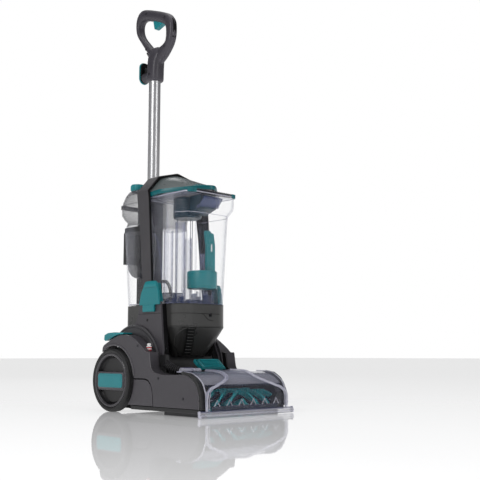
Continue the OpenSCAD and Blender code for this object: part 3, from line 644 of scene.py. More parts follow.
# spray coupling, its seat and the corrugated hose
COUPLING_AT = middle("spray_coupling")[:2]
lathe("coupling_body", [(0.4, 134), (6, 134), (6, 147), (4.2, 148), (4.2, 161), (5.2, 162),
                        (5, 165), (3.2, 166), (0.4, 166)], "white", "base", axis="z",
      at=COUPLING_AT, n=32, stands=["spray_coupling"])
for k, z in enumerate((148.6, 154.2)):
    lathe(f"coupling_ring_{k}", [(3, z), (6.4, z), (6.9, z + 0.8), (6.9, z + 2), (6.4, z + 2.8),
                                 (3, z + 2.8)], "red", "base", axis="z", at=COUPLING_AT, n=32)
    lathe(f"coupling_collar_{k}", [(3, z + 2.9), (6.6, z + 2.9), (6.6, z + 5.2), (3, z + 5.2)],
          "white", "base", axis="z", at=COUPLING_AT, n=32)
prism("seat_block", rect(-48, 91, -24, 139, 3), -107.6, -97, "black", "base", bevel=1.2,
      stands=["coupling_seat"])
hose, radii = [], []
for i, p in enumerate(spline([(-104, -44, 117), (-100, -52, 111), (-92, -62, 104), (-80, -72, 99.5),
                              (-70, -78, 97.5)], 14)):
    hose.append(p)
    radii.append(10.6 if i % 4 in (1, 2) else 8.2)
for i in range(2, len(hose) - 1, 4):
    p, q = Vector(hose[i]), Vector(hose[i + 1])
    tube(f"hose_crest_{i}", [tuple(p + (q - p) * t) for t in (-0.25, 0, 0.25)], [10.4, 11.3, 10.4],
         "shell", "base", n=28, slot="belt_rubber")
tube("hose_corrugated", hose, radii, "rubber", "base", n=28, smooth=28, stands=["suction_hose"])

# ---------- upper body ----------

ARM_FRONT = {"left": [(-12, 110, 1), (-24, 125, 20), (-27, 150, 20)],
             "right": [(-8, 140, 1), (4, 165, 8), (-8, 207, 20)]}
ARM_REAR = [(-16, 261.7, 2), (66, 261.7, 2), (71, 245, 6), (75, 228, 6), (84, 218, 8),
            (118, 200, 20)]


def arm(s, side):
    arm_line = fillet(ARM_FRONT[side] + ARM_REAR, 4)[:-6] + arc(PY, PZ, 97, 72,
                                                                -(188 if s < 0 else 198), 60)
    prism(f"{side}_arm_core", [(y + (3 if y < 20 and z > 130 else 0), z) for y, z in arm_line],
          *flip(s, (80, 95)), "deep", "upper_body", smooth=50)
    prism(f"{side}_arm_skin", arm_line, *flip(s, (94.6, 100)), "shell", "upper_body", bevel=2.2,
          seg=4, smooth=50, stands=[f"{side}_arm"])
    lathe(f"{side}_arm_screw", [(0.3, 99.6 * s), (3, 99.6 * s), (3.4, 100.2 * s), (2.4, 100.3 * s),
                                (0.3, 99.9 * s)], "deep", "upper_body", at=(35, 223), n=24,
          slot="steel")
    tube(f"{side}_arm_seam", [(s * 100, y, 238.5) for y in (-17.5, 20, 71)], 0.45, "deep",
         "upper_body", n=6)


both(arm)

# housing front: rounded nose, recessed louvre band, flat panel
NOSE = [(206.6, -70, 79.6, 38), (190, -61, 74.5, 38), (171, -50.5, 67.6, 38),
        (152, -38.5, 60.5, 37), (134.5, -26.5, 53.6, 36)]
rings = [rrect(-h, y, h, max(70 - 1.2 * (206.6 - z), 8), r, z, 10) for z, y, h,
         r in spline(NOSE, 4)]
loft("nose_shell", rings, "cradle", "upper_body", smooth=50, stands=["front_louvre_panel"])


def nose_front(z):
    for (z0, y0, *_), (z1, y1, *_) in zip(NOSE, NOSE[1:]):
        if z >= z1:
            return y1 + (y0 - y1) * (z - z1) / (z0 - z1)
    return NOSE[-1][1]


def on_nose(name, corners, lift, thick, mat, steps=10, **kw):
    """Plate over the nose between the left and right lines given at the top and the bottom."""
    (l0, r0, z0), (l1, r1, z1) = corners
    rows = []
    for k in range(steps + 1):
        t = k / steps
        z, l, r = z0 + (z1 - z0) * t, l0 + (l1 - l0) * t, r0 + (r1 - r0) * t
        y = nose_front(z)
        rows.append([(l, y - lift, z), (r, y - lift, z), (r, y - lift - thick, z),
                     (l, y - lift - thick, z)])
    return loft(name, rows, mat, "upper_body", **kw)


ARCH = [(206, -34, 64), (205, -50, 67), (201, -61, 70), (194, -67, 70.5), (184, -68, 67),
        (171, -64, 62.5), (155, -58, 57), (138, -51, 50)]


NOSE_R = 38  # radius of the nose's front corners


def nose_back(x, z):
    """How far the nose's rounded corner falls back at x."""
    half = 53.6 + 26 * (z - 134.5) / 72.1
    d = min(max(abs(x) - (half - NOSE_R), 0), NOSE_R - 1)
    return NOSE_R - math.sqrt(NOSE_R * NOSE_R - d * d)


rows = []
for z, l, r in spline(ARCH, 4):
    y = nose_front(z)
    xs = [l + (r - l) * j / 14 for j in range(15)]
    rows.append([(x, y - 0.8 + nose_back(x, z), z) for x in xs]
                + [(x, y + 1.5 + nose_back(x, z), z) for x in xs[::-1]])
loft("nose_recess", rows, "panel", "upper_body", smooth=50)
edge_path = [(l, nose_front(z) - 0.4 + nose_back(l, z), z) for z, l, r in spline(ARCH, 4)]
tube("nose_arch_edge", edge_path, 1.4, "cradle", "upper_body", n=8, smooth=60)
on_nose("louvre_band", ((-59, -37, 203.5), (-38, -18, 139)), 0.9, 0.5, "deep")
for i in range(9):
    z = 201.5 - 7.2 * i
    t = (204 - z) / 65
    x = -59 + 21 * t
    y = nose_front(z)
    prism(f"louvre_{i}", rect(y - 3.0, z - 1.3, y + 2, z + 1.3, 0.8, 3), x + 1.5, x + 21 - 2 * t,
          "panel", "upper_body", bevel=0.4)
on_nose("front_plate", ((-35, 41, 204), (-16, 22, 138)), 0.4, 2.4, "cradle", bevel=1.0, seg=3)

# bands round the cradle and the seam between them
def cradle_line(r):
    """Open line round the cradle's front, its corners turned at radius r."""
    return ([(-40 - r, 60), (-40 - r, -30)] + arc(-40, -30, r, 180, 270, 14)
            + arc(40, -30, r, 270, 360, 14) + [(40 + r, 60)])


cr, cr_in = cradle_line(40.3), cradle_line(38.2)
for nm, z0, z1 in (("cradle_skirt", 205.5, 209.5), ("cradle_lip", 259.6, 262.4)):
    outl = cr + cr_in[::-1]
    prism(nm, outl, z0, z1, "cradle", "upper_body", axis="z", bevel=0.6)
seam = [(x, y, 238.5) for x, y in cr[1:19]] + [(-16, -70.3, 238.2), (-8, -70.3, 236),
                                               (2, -70.3, 227), (10, -70.3, 223), (22, -70.3, 222)]
tube("cradle_seam", seam, 0.5, "deep", "upper_body", n=6)
prism("rear_post", rect(-78, 128, -58, 150, 8), 208, 261.5, "black", "upper_body", axis="z",
      bevel=1.5)

# ---------- pole and handle ----------

lathe("pole_tube", [(14.6, 522), (16, 522), (16, 930), (14.6, 930)], "alu", "upper_body", axis="z",
      at=(0, POLE_Y), n=64, smooth=25, stands=["pole"])
prism("pole_slot", rect(-2.2, 808, 2.2, 825, 2), 162.2, 163.3, "deep", "upper_body", axis="y")

OUTER = spline([(66, 985), (63, 1012), (66, 1034), (80, 1053), (104, 1066), (140, 1081),
                (176, 1094), (197, 1098.5), (213, 1092), (222, 1074), (222, 1044), (214, 1022),
                (190, 990), (166, 958), (156, 936), (128, 924), (100, 938), (78, 962)], 8, True)
INNER = spline([(92, 985), (92, 1014), (103, 1031), (140, 1048), (180, 1063), (198, 1064),
                (206, 1055), (206, 1040), (197, 1021), (175, 997), (152, 975), (136, 966),
                (118, 971), (100, 976)], 8, True)


def ray_hit(poly, c, a):
    """Furthest crossing of a ray from c at angle a with a closed outline."""
    dx, dy, best = math.cos(a), math.sin(a), 0
    for (x0, y0), (x1, y1) in zip(poly, poly[1:] + poly[:1]):
        ex, ey = x1 - x0, y1 - y0
        den = dx * ey - dy * ex
        if abs(den) < 1e-9:
            continue
        t = ((x0 - c[0]) * ey - (y0 - c[1]) * ex) / den
        u = ((x0 - c[0]) * dy - (y0 - c[1]) * dx) / den
        if t > best and -1e-6 <= u <= 1 + 1e-6:
            best = t
    return best


def loop_rings(half, lo=-1.0, hi=1.0, steps=96, n=20, power=2.7, shrink=0.0):
    """Sections of the handle's loop, rays out of the hole's middle."""
    c, rings = (150, 1020), []
    for k in range(steps):
        a = 2 * math.pi * k / steps
        ri, ro = ray_hit(INNER, c, a), ray_hit(OUTER, c, a)
        mid, t = (ri + ro) / 2, (ro - ri) / 2 - shrink
        ring = []
        for j in range(n):
            b = 2 * math.pi * j / n
            cb, sb = math.cos(b), math.sin(b)
            rad = mid + t * math.copysign(abs(cb) ** (2 / power), cb)
            x = half * math.copysign(abs(sb) ** (2 / power), sb)
            x = min(max(x, lo * half), hi * half)
            ring.append((x, c[0] + rad * math.cos(a), c[1] + rad * math.sin(a)))
        rings.append(ring)
    return rings


loft("handle_left_half", loop_rings(13, -1, -0.02), "grip", "upper_body", closed=True, smooth=40,
     stands=["left_handle_shell"])
loft("handle_right_half", loop_rings(13, 0.02, 1), "grip", "upper_body", closed=True, smooth=40,
     stands=["right_handle_shell"])
neck = []
for z, w, d, c in ((879, 18, 18, 146), (881, 20, 20, 145), (886, 20.6, 20.4, 144.5),
                   (915, 20.6, 20.6, 144), (935, 20, 22, 143), (948, 17.5, 25, 141),
                   (960, 14.5, 25, 140), (972, 9, 16, 140)):
    ring = []
    for j in range(36):
        b = 2 * math.pi * j / 36
        cb, sb = math.cos(b), math.sin(b)
        ring.append((w * math.copysign(abs(cb) ** 0.7, cb),
                     c + d * math.copysign(abs(sb) ** 0.7, sb), z))
    neck.append(ring)
loft("handle_neck", neck, "grip", "upper_body", smooth=50)
for s, side in SIDES:
    for k, (y, z) in enumerate(((173, 1079), (92, 1046), (92, 965), (172, 976), (146, 897))):
        x = 12.2 if k < 4 else 20.2
        lathe(f"{side}_grip_screw_{k}",
              [(0.3, s * (x - 1)), (3.1, s * (x - 1)), (3.4, s * (x + 0.9)), (2.4, s * (x + 0.9)),
               (2.2, s * (x + 0.1)), (0.3, s * (x + 0.1))], "deep", "upper_body", at=(y, z), n=20,
              slot="steel", **({"stands": ["handle_screws"]} if s < 0 and k == 0 else {}))
# blank dark inlay down the front of the loop
inlay = [(y - 0.4, z) for y, z in ((78, 1050), (66.5, 1034), (63.2, 1012), (66.3, 985))]
rows = [[(-5.5, y, z), (5.5, y, z), (5.5, y + 2.5, z), (-5.5, y + 2.5, z)] for y,
        z in spline(inlay, 5)]
loft("grip_inlay", rows, "deep", "upper_body", bevel=0.6)
tube("cord_clip_hook", spline([(0, 158, 951), (0, 168, 955), (0, 176, 962), (0, 183, 971)], 4),
     [3.4] * 5 + [2.8] * 4 + [2.2] * 4, "black", "upper_body", n=10, slot="dark_shell")

prism("trigger_blade", fillet([(97, 1046, 1), (99, 1037, 1), (137, 1026, 2), (143, 1027, 3),
                               (149, 1052, 2), (104, 1046, 1)], 2), -6.8, 6.8, "teal",
      "hand_trigger", bevel=1.6, seg=3, stands=["trigger"])

lathe("hook_arm", [(0.4, 164.5), (14, 164.5), (14, 166), (13.2, 168), (13.2, 186), (14.2, 188),
                   (14.2, 191), (0.4, 191)], "grip", "hook", axis="y", at=(0, 899), n=48,
      stands=["cord_hook"], slot="black_plastic")


def lobe(r, h, cz=899):
    return arc(0, cz, r, 180, 360, 14) + arc(0, cz + h, r, 0, 180, 14)


prism("hook_blade", lobe(14.5, 29), 188, 193.8, "deep", "hook", axis="y", bevel=1)
prism("hook_pad", lobe(16, 30), 193.6, 198, "teal", "hook", axis="y", bevel=1.4, seg=3)
prism("hook_web", fillet([(178, 905), (191, 905), (191, 926), (186, 930)], 3), -4, 4, "black",
      "hook", bevel=0.8)

# ---------- recovery tank ----------

TANK = [(262.6, 81, -68, 84, 42), (300, 81.2, -71, 84, 42.5), (380, 81.8, -77.5, 84, 44),
        (470, 82.4, -84.5, 84, 45), (484, 82.5, -86, 84, 45), (491, 82.7, -91.5, 84, 41),
        (499, 83, -98, 84, 35), (506, 83, -99, 84, 32), (534, 83, -99, 84, 30)]


def tank_rings(t, z_shift=0, top=534):
    out = []
    for z, h, y0, y1, r in TANK:
        out.append(rrect(-h + t, y0 + t, h - t, y1 - t, r - t, min(z + z_shift, top), 10))
    return out


walled("dirty_tank_wall", tank_rings(0), tank_rings(2.4, 2.5), "clear", "dirty_tank", smooth=50,
       stands=["recovery_tank"])
walled("dirty_tank_plug", [rrect(-75, -64, 75, 82, 34, z, 8) for z in (214, 262.4)],
       [rrect(-72.6, -61.6, 72.6, 79.6, 31.6, z, 8) for z in (217, 262.4)], "clear", "dirty_tank",
       smooth=50)
rim = [(x, y, 533.5) for x, y, _ in rrect(-83, -99, 83, 84, 30, 0, 10)]
tube("dirty_tank_rim", rim + rim[:1], 1.2, "clear_edge", "dirty_tank", n=8)
flare = [(x, y, 485) for x, y, _ in rrect(-82.4, -86, 82.4, 84, 45, 0, 10)][:24]
tube("flare_line", flare, 0.7, "clear_edge", "dirty_tank", n=6)
foot = [(x, y, 264) for x, y, _ in rrect(-80.6, -67.8, 80.6, 84, 42, 0, 10)]
tube("tank_foot_line", foot + foot[:1], 0.9, "duct", "dirty_tank", n=6, slot="clear_plastic")


def pipe(name, x, y, r, z0, z1, mat, wall=1.6, body="dirty_tank", **kw):
    lathe(name, [(r - wall, z0), (r, z0), (r, z1), (r - wall, z1)], mat, body, axis="z", at=(x, y),
          n=40, smooth=30, **kw)


FLOAT_AT = (28, -22)
pipe("duct_main", 0, 32, 13, 218, 476, "duct", stands=["tank_tubes"])
pipe("duct_side", -32, 40, 12, 218, 452, "duct")
pipe("duct_right", 40, 48, 10, 218, 440, "duct")
pipe("float_post", *FLOAT_AT, 6, 218, 393, "duct", 1.4)
pipe("float_stand", *FLOAT_AT, 15, 218, 297, "duct")
for k, (x, y, z0, z1, w) in enumerate(((-20, -6, 218, 300, 5), (12, -44, 218, 262, 8),
                                       (52, -36, 218, 296, 4), (-52, 20, 266, 500, 3),
                                       (60, 40, 266, 490, 3), (-10, 10, 266, 470, 2.5),
                                       (16, 18, 266, 430, 2.5))):
    prism(f"tank_rib_{k}", rect(x - w, y - 1, x + w, y + 1, 0.6, 2), z0, z1, "duct", "dirty_tank",
          axis="z")
for k, (y0, y1, z) in enumerate(((-50, 60, 285), (-40, 50, 345), (-30, 30, 405))):
    tube(f"tank_mark_{k}", [(-81.4 - 0.008 * (z - 262), y, z - 0.07 * (y + 50))
                            for y in (y0 + 40, y1)], 0.4, "duct", "dirty_tank", n=6,
         slot="clear_plastic")
SIDE_BEAD = [(-83.4, 60, 446), (-83.6, 40, 442), (-83.6, 24, 428), (-83.4, 14, 405),
             (-83.2, 4, 350), (-82.6, -3, 290), (-82, -6, 266)]
tube("tank_side_bead", spline(SIDE_BEAD, 6), 1.3, "duct", "dirty_tank", n=8, slot="clear_plastic")
# dark working parts seen at the bottom of the tank
for k, (x0, x1, y0, y1, z1) in enumerate(((-60, -14, 0, 50, 292), (-10, 20, 36, 70, 284),
                                          (34, 66, 6, 60, 278))):
    prism(f"tank_well_{k}", rect(x0, y0, x1, y1, 5), 218, z1, "ink", "dirty_tank", axis="z",
          bevel=1.5)
for k in range(12):
    x = -70 + 12.5 * k
    y = -58 + 0.010 * x * x
    prism(f"foot_fin_{k}", rect(x - 1.6, y, x + 1.6, y + 16, 0.8, 2), 264.2,
          274 + 7 * ((k * 5) % 3), "ink", "dirty_tank", axis="z")
for k, (x, y, z1) in enumerate(((-44, 6, 470), (-20, 20, 492), (6, 0, 440), (14, 8, 505),
                                (22, 34, 500), (34, 24, 486), (48, 10, 470))):
    tube(f"tank_line_{k}", [(x, y, 266), (x, y, z1 - 2), (x, y, z1)], [1.1, 1.1, 0.5],
         "ink" if k % 2 else "duct", "dirty_tank", n=8)
bend = spline([(-76, 8, 318), (-76, -8, 316), (-75, -18, 304), (-74, -22, 286), (-74, -22, 270)], 9)
tube("foot_hose", bend, [4.2 if i % 3 else 3.2 for i in range(len(bend))], "smoke_dark",
     "dirty_tank", n=16, smooth=28)
# pour lip: teal end caps and the strainer strip between them
for s, side in SIDES:
    cap = fillet([(s * 58, -96), (s * 58, -99.4), (s * 72, -98), (s * 80, -88), (s * 76, -84)], 3)
    prism(f"{side}_lip_cap", cap, 531, 541, "teal_dark", "dirty_tank", axis="z", bevel=1.6, seg=3)
prism("lip_strainer", fillet([(-98.8, 531), (-88, 531), (-88, 537), (-98.8, 540)], 1.5), -57, 57,
      "smoke_dark", "dirty_tank", bevel=0.5)
for k in range(18):
    x = -53 + 6.2 * k
    prism(f"strainer_bar_{k}", fillet([(-98.4, 539.6), (-88.5, 536.8), (-88.5, 538.2),
                                       (-98.4, 541)], 0.3, 2), x, x + 2.4, "strap", "dirty_tank")

# float and its stem
lathe("float_cup", [(6.8, 303), (35, 303), (37, 304), (38, 306.5), (38, 344), (36.8, 347),
                    (34, 348), (31, 347), (30, 344.5), (28, 343.4), (9.5, 343.4), (9, 346),
                    (6.8, 346)], "teal", "float_body", axis="z", at=FLOAT_AT, n=72, smooth=30,
      stands=["float"])
stem = [(33, 344, 0.5), (62, 344, 0.5), (62, 415, 20), (57, 446, 3), (48, 447, 1), (46, 452, 1),
        (30, 452, 3), (28, 448, 3), (33.5, 412, 20)]
prism("float_stem", fillet(stem, 3), -33.6, -27, "teal", "float_body", axis="y", bevel=1, seg=3)
prism("float_slot", rect(47.6, 399, 51.4, 418, 1), -33.9, -33.4, "white", "float_body", axis="y",
      slot="teal_plastic")

# ---------- lid and carry strap ----------

PLAN = spline([(-88, 84), (-91.5, 66), (-92, 44), (-92, 22), (-90, 6), (-76, -18), (-58, -42),
               (-38, -66), (-19, -84), (-8, -92), (0, -94)], 4)
PLAN = PLAN + [(-x, y) for x, y in PLAN[-2::-1]]
LID_LEVEL = 44  # the lid is level behind this y and slopes in front of it
LID_SLOPE = 130


def slope(y):
    return min(max((LID_LEVEL - y) / LID_SLOPE, 0), 1)


ring_rows = []
for x, y in PLAN:
    t = slope(y)
    zl = 534.5 + 10.5 * t
    n = Vector((x, (y - 20) * 0.7))
    n.normalize()
    ring_rows.append([(x, y, zl), (x + n.x * 0.6, y + n.y * 0.6, zl + 5.5),
                      (x - n.x * 0.5, y - n.y * 0.5, zl + 11), (x - n.x * 7, y - n.y * 7, zl + 11),
                      (x - n.x * 7, y - n.y * 7, zl)])
loft("lid_band", ring_rows, "teal_dark", "lid", smooth=50, bevel=0.8, seg=2, stands=["lid_rim"])


def lid_half(y):
    for (x0, y0), (x1, y1) in zip(PLAN, PLAN[1:]):
        if y0 >= y >= y1 and x0 <= 0:
            return abs(x0 + (x1 - x0) * (y0 - y) / max(y0 - y1, 1e-6))
    return 2.0


def dome(name, ys, mat, drop=0.0, **kw):
    """Lid over its band: an arch at each y that falls and narrows to the nose."""
    rings = []
    for y in ys:
        w = max(lid_half(y) - 1.5, 1.5)
        z0 = 544.5 + 10.5 * slope(y)
        top = 599.5 - 0.352 * max(LID_LEVEL - y,
                                  0) - drop if y > -70 else 559.4 - 0.25 * (-70 - y) - drop
        top = max(top, z0 + 1.2)
        h = top - z0
        arch = [(-w, z0), (-w * 0.97, z0 + 0.10 * h), (-w * 0.64, z0 + 0.70 * h),
                (-w * 0.30, z0 + 0.92 * h), (-w * 0.08, z0 + 0.995 * h), (0, z0 + h)]
        arch = spline(arch, 3)
        arch = arch + [(-a, b) for a, b in arch[-2::-1]]
        rings.append([(a, y, b) for a, b in arch])
    return loft(name, rings, mat, "lid", smooth=38, **kw)


dome("lid_dome", [84, 64, 44, 30, 15, 0, -12, -24, -36, -48, -60], "lid", stands=["lid_shell"])
dome("lid_nose", [-60, -66, -72, -78, -84, -89, -92], "teal_dark", -0.5)
prism("lid_seat", rect(-82, -96, 82, 83, 28, 8), 534.6, 537, "clear", "lid", axis="z",
      stands=["lid_base"])
lathe("baffle_drum", [(0.5, 482), (33, 482), (36, 486), (36, 533), (0.5, 533)], "teal_ink", "lid",
      axis="z", at=(0, 4), n=56, stands=["lid_baffle"])
prism("baffle_box", fillet([(-76, 500), (-40, 488), (-34, 488), (-34, 533), (-76, 533)], 3), -26,
      26, "teal_ink", "lid", bevel=1)
prism("baffle_wall", fillet([(-84, 506, 2), (-80, 500, 2), (-62, 533, 2), (-84, 533, 2)], 2), 27,
      29.5, "clear_edge", "lid")
prism("lid_ramp", fillet([(-96, 522), (-78, 503), (-66, 500), (-66, 505), (-78, 509), (-95, 527)],
                         2), -30, 30, "ink", "lid", bevel=0.8, slot="dark_teal_plastic")

SIDE = [(18, 264, 3), (50, 264, 3), (58, 322, 40), (70, 440, 10), (84, 530, 20), (85, 549, 3),
        (43, 549, 3), (38, 530, 20), (31, 440, 10), (23, 322, 40)]


def strap_side(s, side):
    prism(f"{side}_strap_skin", fillet(SIDE, 3), *flip(s, (98.2, 100)), "strap", "lid", bevel=0.7,
          seg=3, smooth=50, **({"stands": ["carry_strap"]} if s < 0 else {}))
    prism(f"{side}_strap_core", fillet([(y - (2.6 if y < 45 else 0), z, r) for y, z, r in SIDE], 3),
          *flip(s, (94.2, 98.4)), "deep", "lid", bevel=0.8, smooth=50)


both(strap_side)
OUT = [(100, 546), (99.6, 549), (98.4, 551), (66, 588), (63, 590.5), (59, 592), (4, 606.4),
       (0, 607)]
IN = [(94.4, 546), (94, 548), (93, 549.5), (62, 583.4), (59.4, 585.5), (56, 586.8), (4, 600.4),
      (0, 601)]


def arch_line(half):
    return half + [(-x, z) for x, z in half[-2::-1]]


def mid(a, b, t):
    return [(p[0] + (q[0] - p[0]) * t, p[1] + (q[1] - p[1]) * t) for p, q in zip(a, b)]


prism("strap_arch_skin", arch_line(OUT) + arch_line(mid(OUT, IN, 0.35))[::-1], 44, 86, "strap",
      "lid", axis="y", bevel=0.7, seg=3, smooth=50)
prism("strap_arch_core", arch_line(mid(OUT, IN, 0.3)) + arch_line(IN)[::-1], 41.5, 85, "deep",
      "lid", axis="y", bevel=0.6, smooth=50)


def strap_latch(s, side):
    body = f"{side}_strap_catch"
    slab = [(3, 243, 2), (48, 243, 2), (48, 260, 1), (62, 260, 2), (55, 290, 30), (40, 312, 6),
            (33, 318, 4), (0, 318, 4), (-6, 312, 5), (-13, 290, 30), (-16, 260, 2), (3, 260, 1)]
    prism(f"{side}_latch_face", fillet(slab, 3), *flip(s, (100.7, 106)), "teal", body, bevel=2,
          seg=4, smooth=50, stands=[f"{side}_strap_latch"])
    rows = [[(s * 105.4, y0, z), (s * 105.4, y1, z), (s * x, y1, z), (s * x, y0, z)] for z, y0, y1,
            x in ((317.4, -2, 36, 105.8), (315, -4, 38, 106.8), (305, -7.5, 41.5, 108.8),
                  (303.2, -7.6, 41.8, 108.4), (302.8, -7.4, 41.6, 105.6))]
    loft(f"{side}_latch_brow", rows, "teal", body, bevel=0.9, seg=3, smooth=40)
    prism(f"{side}_latch_foot", rect(4, 244, 47, 259, 3), *flip(s, (105.4, 107)), "teal", body,
          bevel=0.8)
    cheek = [(s * 90.5, -15.5, 267), (s * 100.8, -15.5, 267), (s * 100.8, -6, 313),
             (s * 92.5, -6, 313)]
    back = [(x, y + 4, z) for x, y, z in cheek]
    loft(f"{side}_latch_cheek", [cheek, back], "teal_dark", body, bevel=0.8)


both(strap_latch)

# ---------- clean-water tank ----------

CLEAN = [(264, 86, 150, 26), (300, 86.5, 153.5, 26), (380, 87.5, 160.5, 26), (440, 88, 165.5, 26),
         (460, 88, 166.5, 26), (470, 87, 163, 26), (478, 86, 160, 26), (488, 87, 172, 26),
         (500, 88, 182, 25), (522, 88, 183.5, 25), (535, 88, 176, 24), (548, 87, 167, 23),
         (558, 84.5, 158, 22), (562, 80, 153, 20)]


def clean_rings(t, up=0.0, top=600):
    return [rrect(-h + t, 90 + t, h - t, y1 - t, r - t, min(z + up, top), 8, (24 + t, 122 - t))
            for z, h, y1, r in CLEAN]


def part(lo, hi, rings):
    return [r for r in rings if lo <= r[0][2] <= hi]


outer, inner = clean_rings(0), clean_rings(2.4)
loft("clean_tank_low", part(0, 471, outer) + part(0, 471, inner)[::-1], "clear", "clean_water",
     smooth=50, stands=["clean_tank"], caps=False, closed=True)
loft("clean_tank_head", part(469, 600, outer) + part(469, 600, inner)[::-1], "smoke", "clean_water",
     smooth=50, caps=False, closed=True)
loft("clean_tank_top", [rrect(-80, 90, 80, 153, 20, z, 8, (24, 122)) for z in (560, 562.6)],
     "smoke", "clean_water", smooth=50)
loft("clean_tank_floor", [rrect(-85.5, 90.5, 85.5, 149.5, 25.5, z, 8, (24.5, 121.5))
                          for z in (264, 266.4)], "clear_edge", "clean_water", smooth=50)
loft("filter_block", [rrect(-h, y0, -27, y1, 14 if z < 345 else 9, z, 8) for z, h, y0,
                      y1 in [(334, 76, 100, 130), (340, 81, 96.5, 138), (352, 83.5, 95, 144),
                             (380, 84, 94, 150), (430, 84.5, 93.5, 157), (462, 84.5, 93.5, 160)]],
     "smoke_dark", "clean_water", smooth=50)
prism("block_top_bar", rect(-85.4, 93, -26, 161, 10), 452, 466, "black", "clean_water", axis="z",
      bevel=1.5)
for k, z in enumerate((551, 527)):
    w = 84 if k == 0 else 86.6
    tube(f"clean_band_{k}", [(-w - 1.2, 94, z), (-w - 1.2, 140, z), (-w + 4, 158 + 10 * k, z),
                             (-w + 18, 168 + 12 * k, z)], 0.8, "smoke_dark", "clean_water", n=6)
CAP_AT = middle("filler_cap")[:2]
lathe("filler_neck", [(12.6, 559), (15, 559), (15, 575), (12.6, 575)], "smoke", "clean_water",
      axis="z", at=CAP_AT, n=40)
prof = [(15.3, 563.6), (18, 563.6), (18.5, 565), (18.5, 578), (17.2, 580.6), (14, 581.4),
        (0.5, 581.4), (0.5, 577.6), (15.3, 577.6)]
lathe("cap_body", prof, "teal", "cap", axis="z", at=CAP_AT, n=56, smooth=30, stands=["filler_cap"])
for k in range(20):
    a = 2 * math.pi * k / 20
    x, y = CAP_AT[0] + 18.4 * math.cos(a), CAP_AT[1] + 18.4 * math.sin(a)
    tube(f"cap_grip_{k}", [(x, y, 565), (x, y, 566.5), (x, y, 577), (x, y, 578.5)],
         [0.3, 1.0, 1.0, 0.3], "teal", "cap", n=6)

# ---------- CAD nodes that stay, with finished materials ----------

KEEP = {
    "base_pan": "black", "axles_and_pins": "steel", "floor_skids": "rubber",
    "brush_motor": "steel", "drive_belt": "rubber", "cover_screws": "screw",
    "motor_pulley": "steel", "motor_housing": "black", "tank_cradle": "cradle", "spine": "black",
    "suction_motor": "steel", "impeller": "steel", "water_pump": "black", "cord_gland": "rubber",
}
for name, key in KEEP.items():
    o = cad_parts[name]
    if not o.material_slots:
        o.data.materials.append(M[key])
    for sl in o.material_slots:
        sl.link = "OBJECT"
        sl.material = M[key]

# ---------- stage, light, camera ----------

fm, fnt, fb = new_material("studio_floor", (0.96, 0.96, 0.965), 0.6)
fb.inputs["Specular IOR Level"].default_value = 0.0
fb.inputs["Emission Color"].default_value = (1, 1, 1, 1)
fb.inputs["Emission Strength"].default_value = 0.46
mirror = node(fnt, "ShaderNodeBsdfGlossy")
mirror.inputs["Roughness"].default_value = 0.02
lw = node(fnt, "ShaderNodeLayerWeight", Blend=0.5)
low = node(fnt, "ShaderNodeMath", operation="POWER")
low.inputs[1].default_value = 4.5
blend = node(fnt, "ShaderNodeMixShader")
link(lw, "Facing", low, 0)
link(low, "Value", blend, "Fac")
link(fb, "BSDF", blend, 1)
link(mirror, "BSDF", blend, 2)
link(blend, "Shader", fnt.nodes["Material Output"], "Surface")
me = bpy.data.meshes.new("studio_floor")
FLOOR = 30  # metres from the middle to each edge
me.from_pydata([(x * FLOOR, y * FLOOR, 0) for x, y in ((-1, -1), (1, -1), (1, 1), (-1, 1))], [],
               [(0, 1, 2, 3)])
me.materials.append(fm)
floor = bpy.data.objects.new("studio_floor", me)
sc.collection.objects.link(floor)

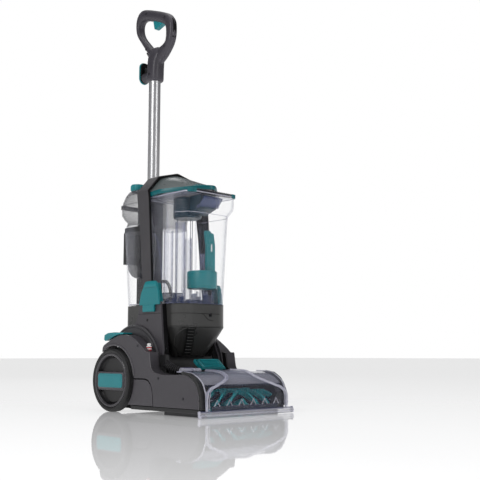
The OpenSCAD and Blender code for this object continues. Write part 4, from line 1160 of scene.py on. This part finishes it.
# plain white to the camera, darker above the horizon for reflections
world = bpy.data.worlds.new("studio")
sc.world = world
world.use_nodes = True
wt = world.node_tree
bg = wt.nodes["Background"]
sep = node(wt, "ShaderNodeSeparateXYZ")
link(node(wt, "ShaderNodeTexCoord"), "Generated", sep, "Vector")
up_ramp = ramp(wt, [(0.0, (1, 1, 1)), (0.14, (1, 1, 1)), (0.22, (0.12, 0.12, 0.13)),
                    (0.6, (0.15, 0.15, 0.16)), (0.95, (0.6, 0.6, 0.6))])
link(sep, "Z", up_ramp, "Fac")
mix = node(wt, "ShaderNodeMix", data_type="RGBA")
mix.inputs["B"].default_value = (1, 1, 1, 1)
link(node(wt, "ShaderNodeLightPath"), "Is Camera Ray", mix, "Factor")
link(up_ramp, "Color", mix, "A")
link(mix, "Result", bg, "Color")
bg.inputs["Strength"].default_value = 1.0


def area(name, at, to, size, power, size_y=None):
    d = bpy.data.lights.new(name, "AREA")
    d.energy, d.size = power, size
    if size_y:
        d.shape, d.size_y = "RECTANGLE", size_y
    o = bpy.data.objects.new(name, d)
    o.location = at
    o.rotation_euler = (Vector(to) - Vector(at)).to_track_quat("-Z", "Y").to_euler()
    sc.collection.objects.link(o)


area("key_left", (-2.6, -0.5, 1.9), (0, 0, 0.4), 0.8, 27, 1.4)
area("front_fill", (0.4, -3.0, 1.6), (0, 0, 0.4), 1.0, 13)
area("rim_back", (1.2, 2.4, 1.9), (0, 0, 0.5), 1.2, 14)
area("top", (0, 0, 2.9), (0, 0, 0), 1.8, 18)

EYE = (-1.3805, -1.6174, 0.138)  # metres
HEADING = (0.695, 0.719)
PITCH = math.radians(7.78)
LENS = 63.15  # mm, for a 36 mm wide sensor
cam_data = bpy.data.cameras.new("camera")
cam = bpy.data.objects.new("camera", cam_data)
sc.collection.objects.link(cam)
cam_data.sensor_width = 36
cam_data.lens = LENS
cam_data.clip_start, cam_data.clip_end = 0.05, 100
cam.location = EYE
look = Vector((HEADING[0] * math.cos(PITCH), HEADING[1] * math.cos(PITCH), math.sin(PITCH)))
cam.rotation_euler = look.to_track_quat("-Z", "Y").to_euler()
sc.camera = cam
sc.view_settings.view_transform = "Standard"
sc.cycles.transparent_max_bounces = 32
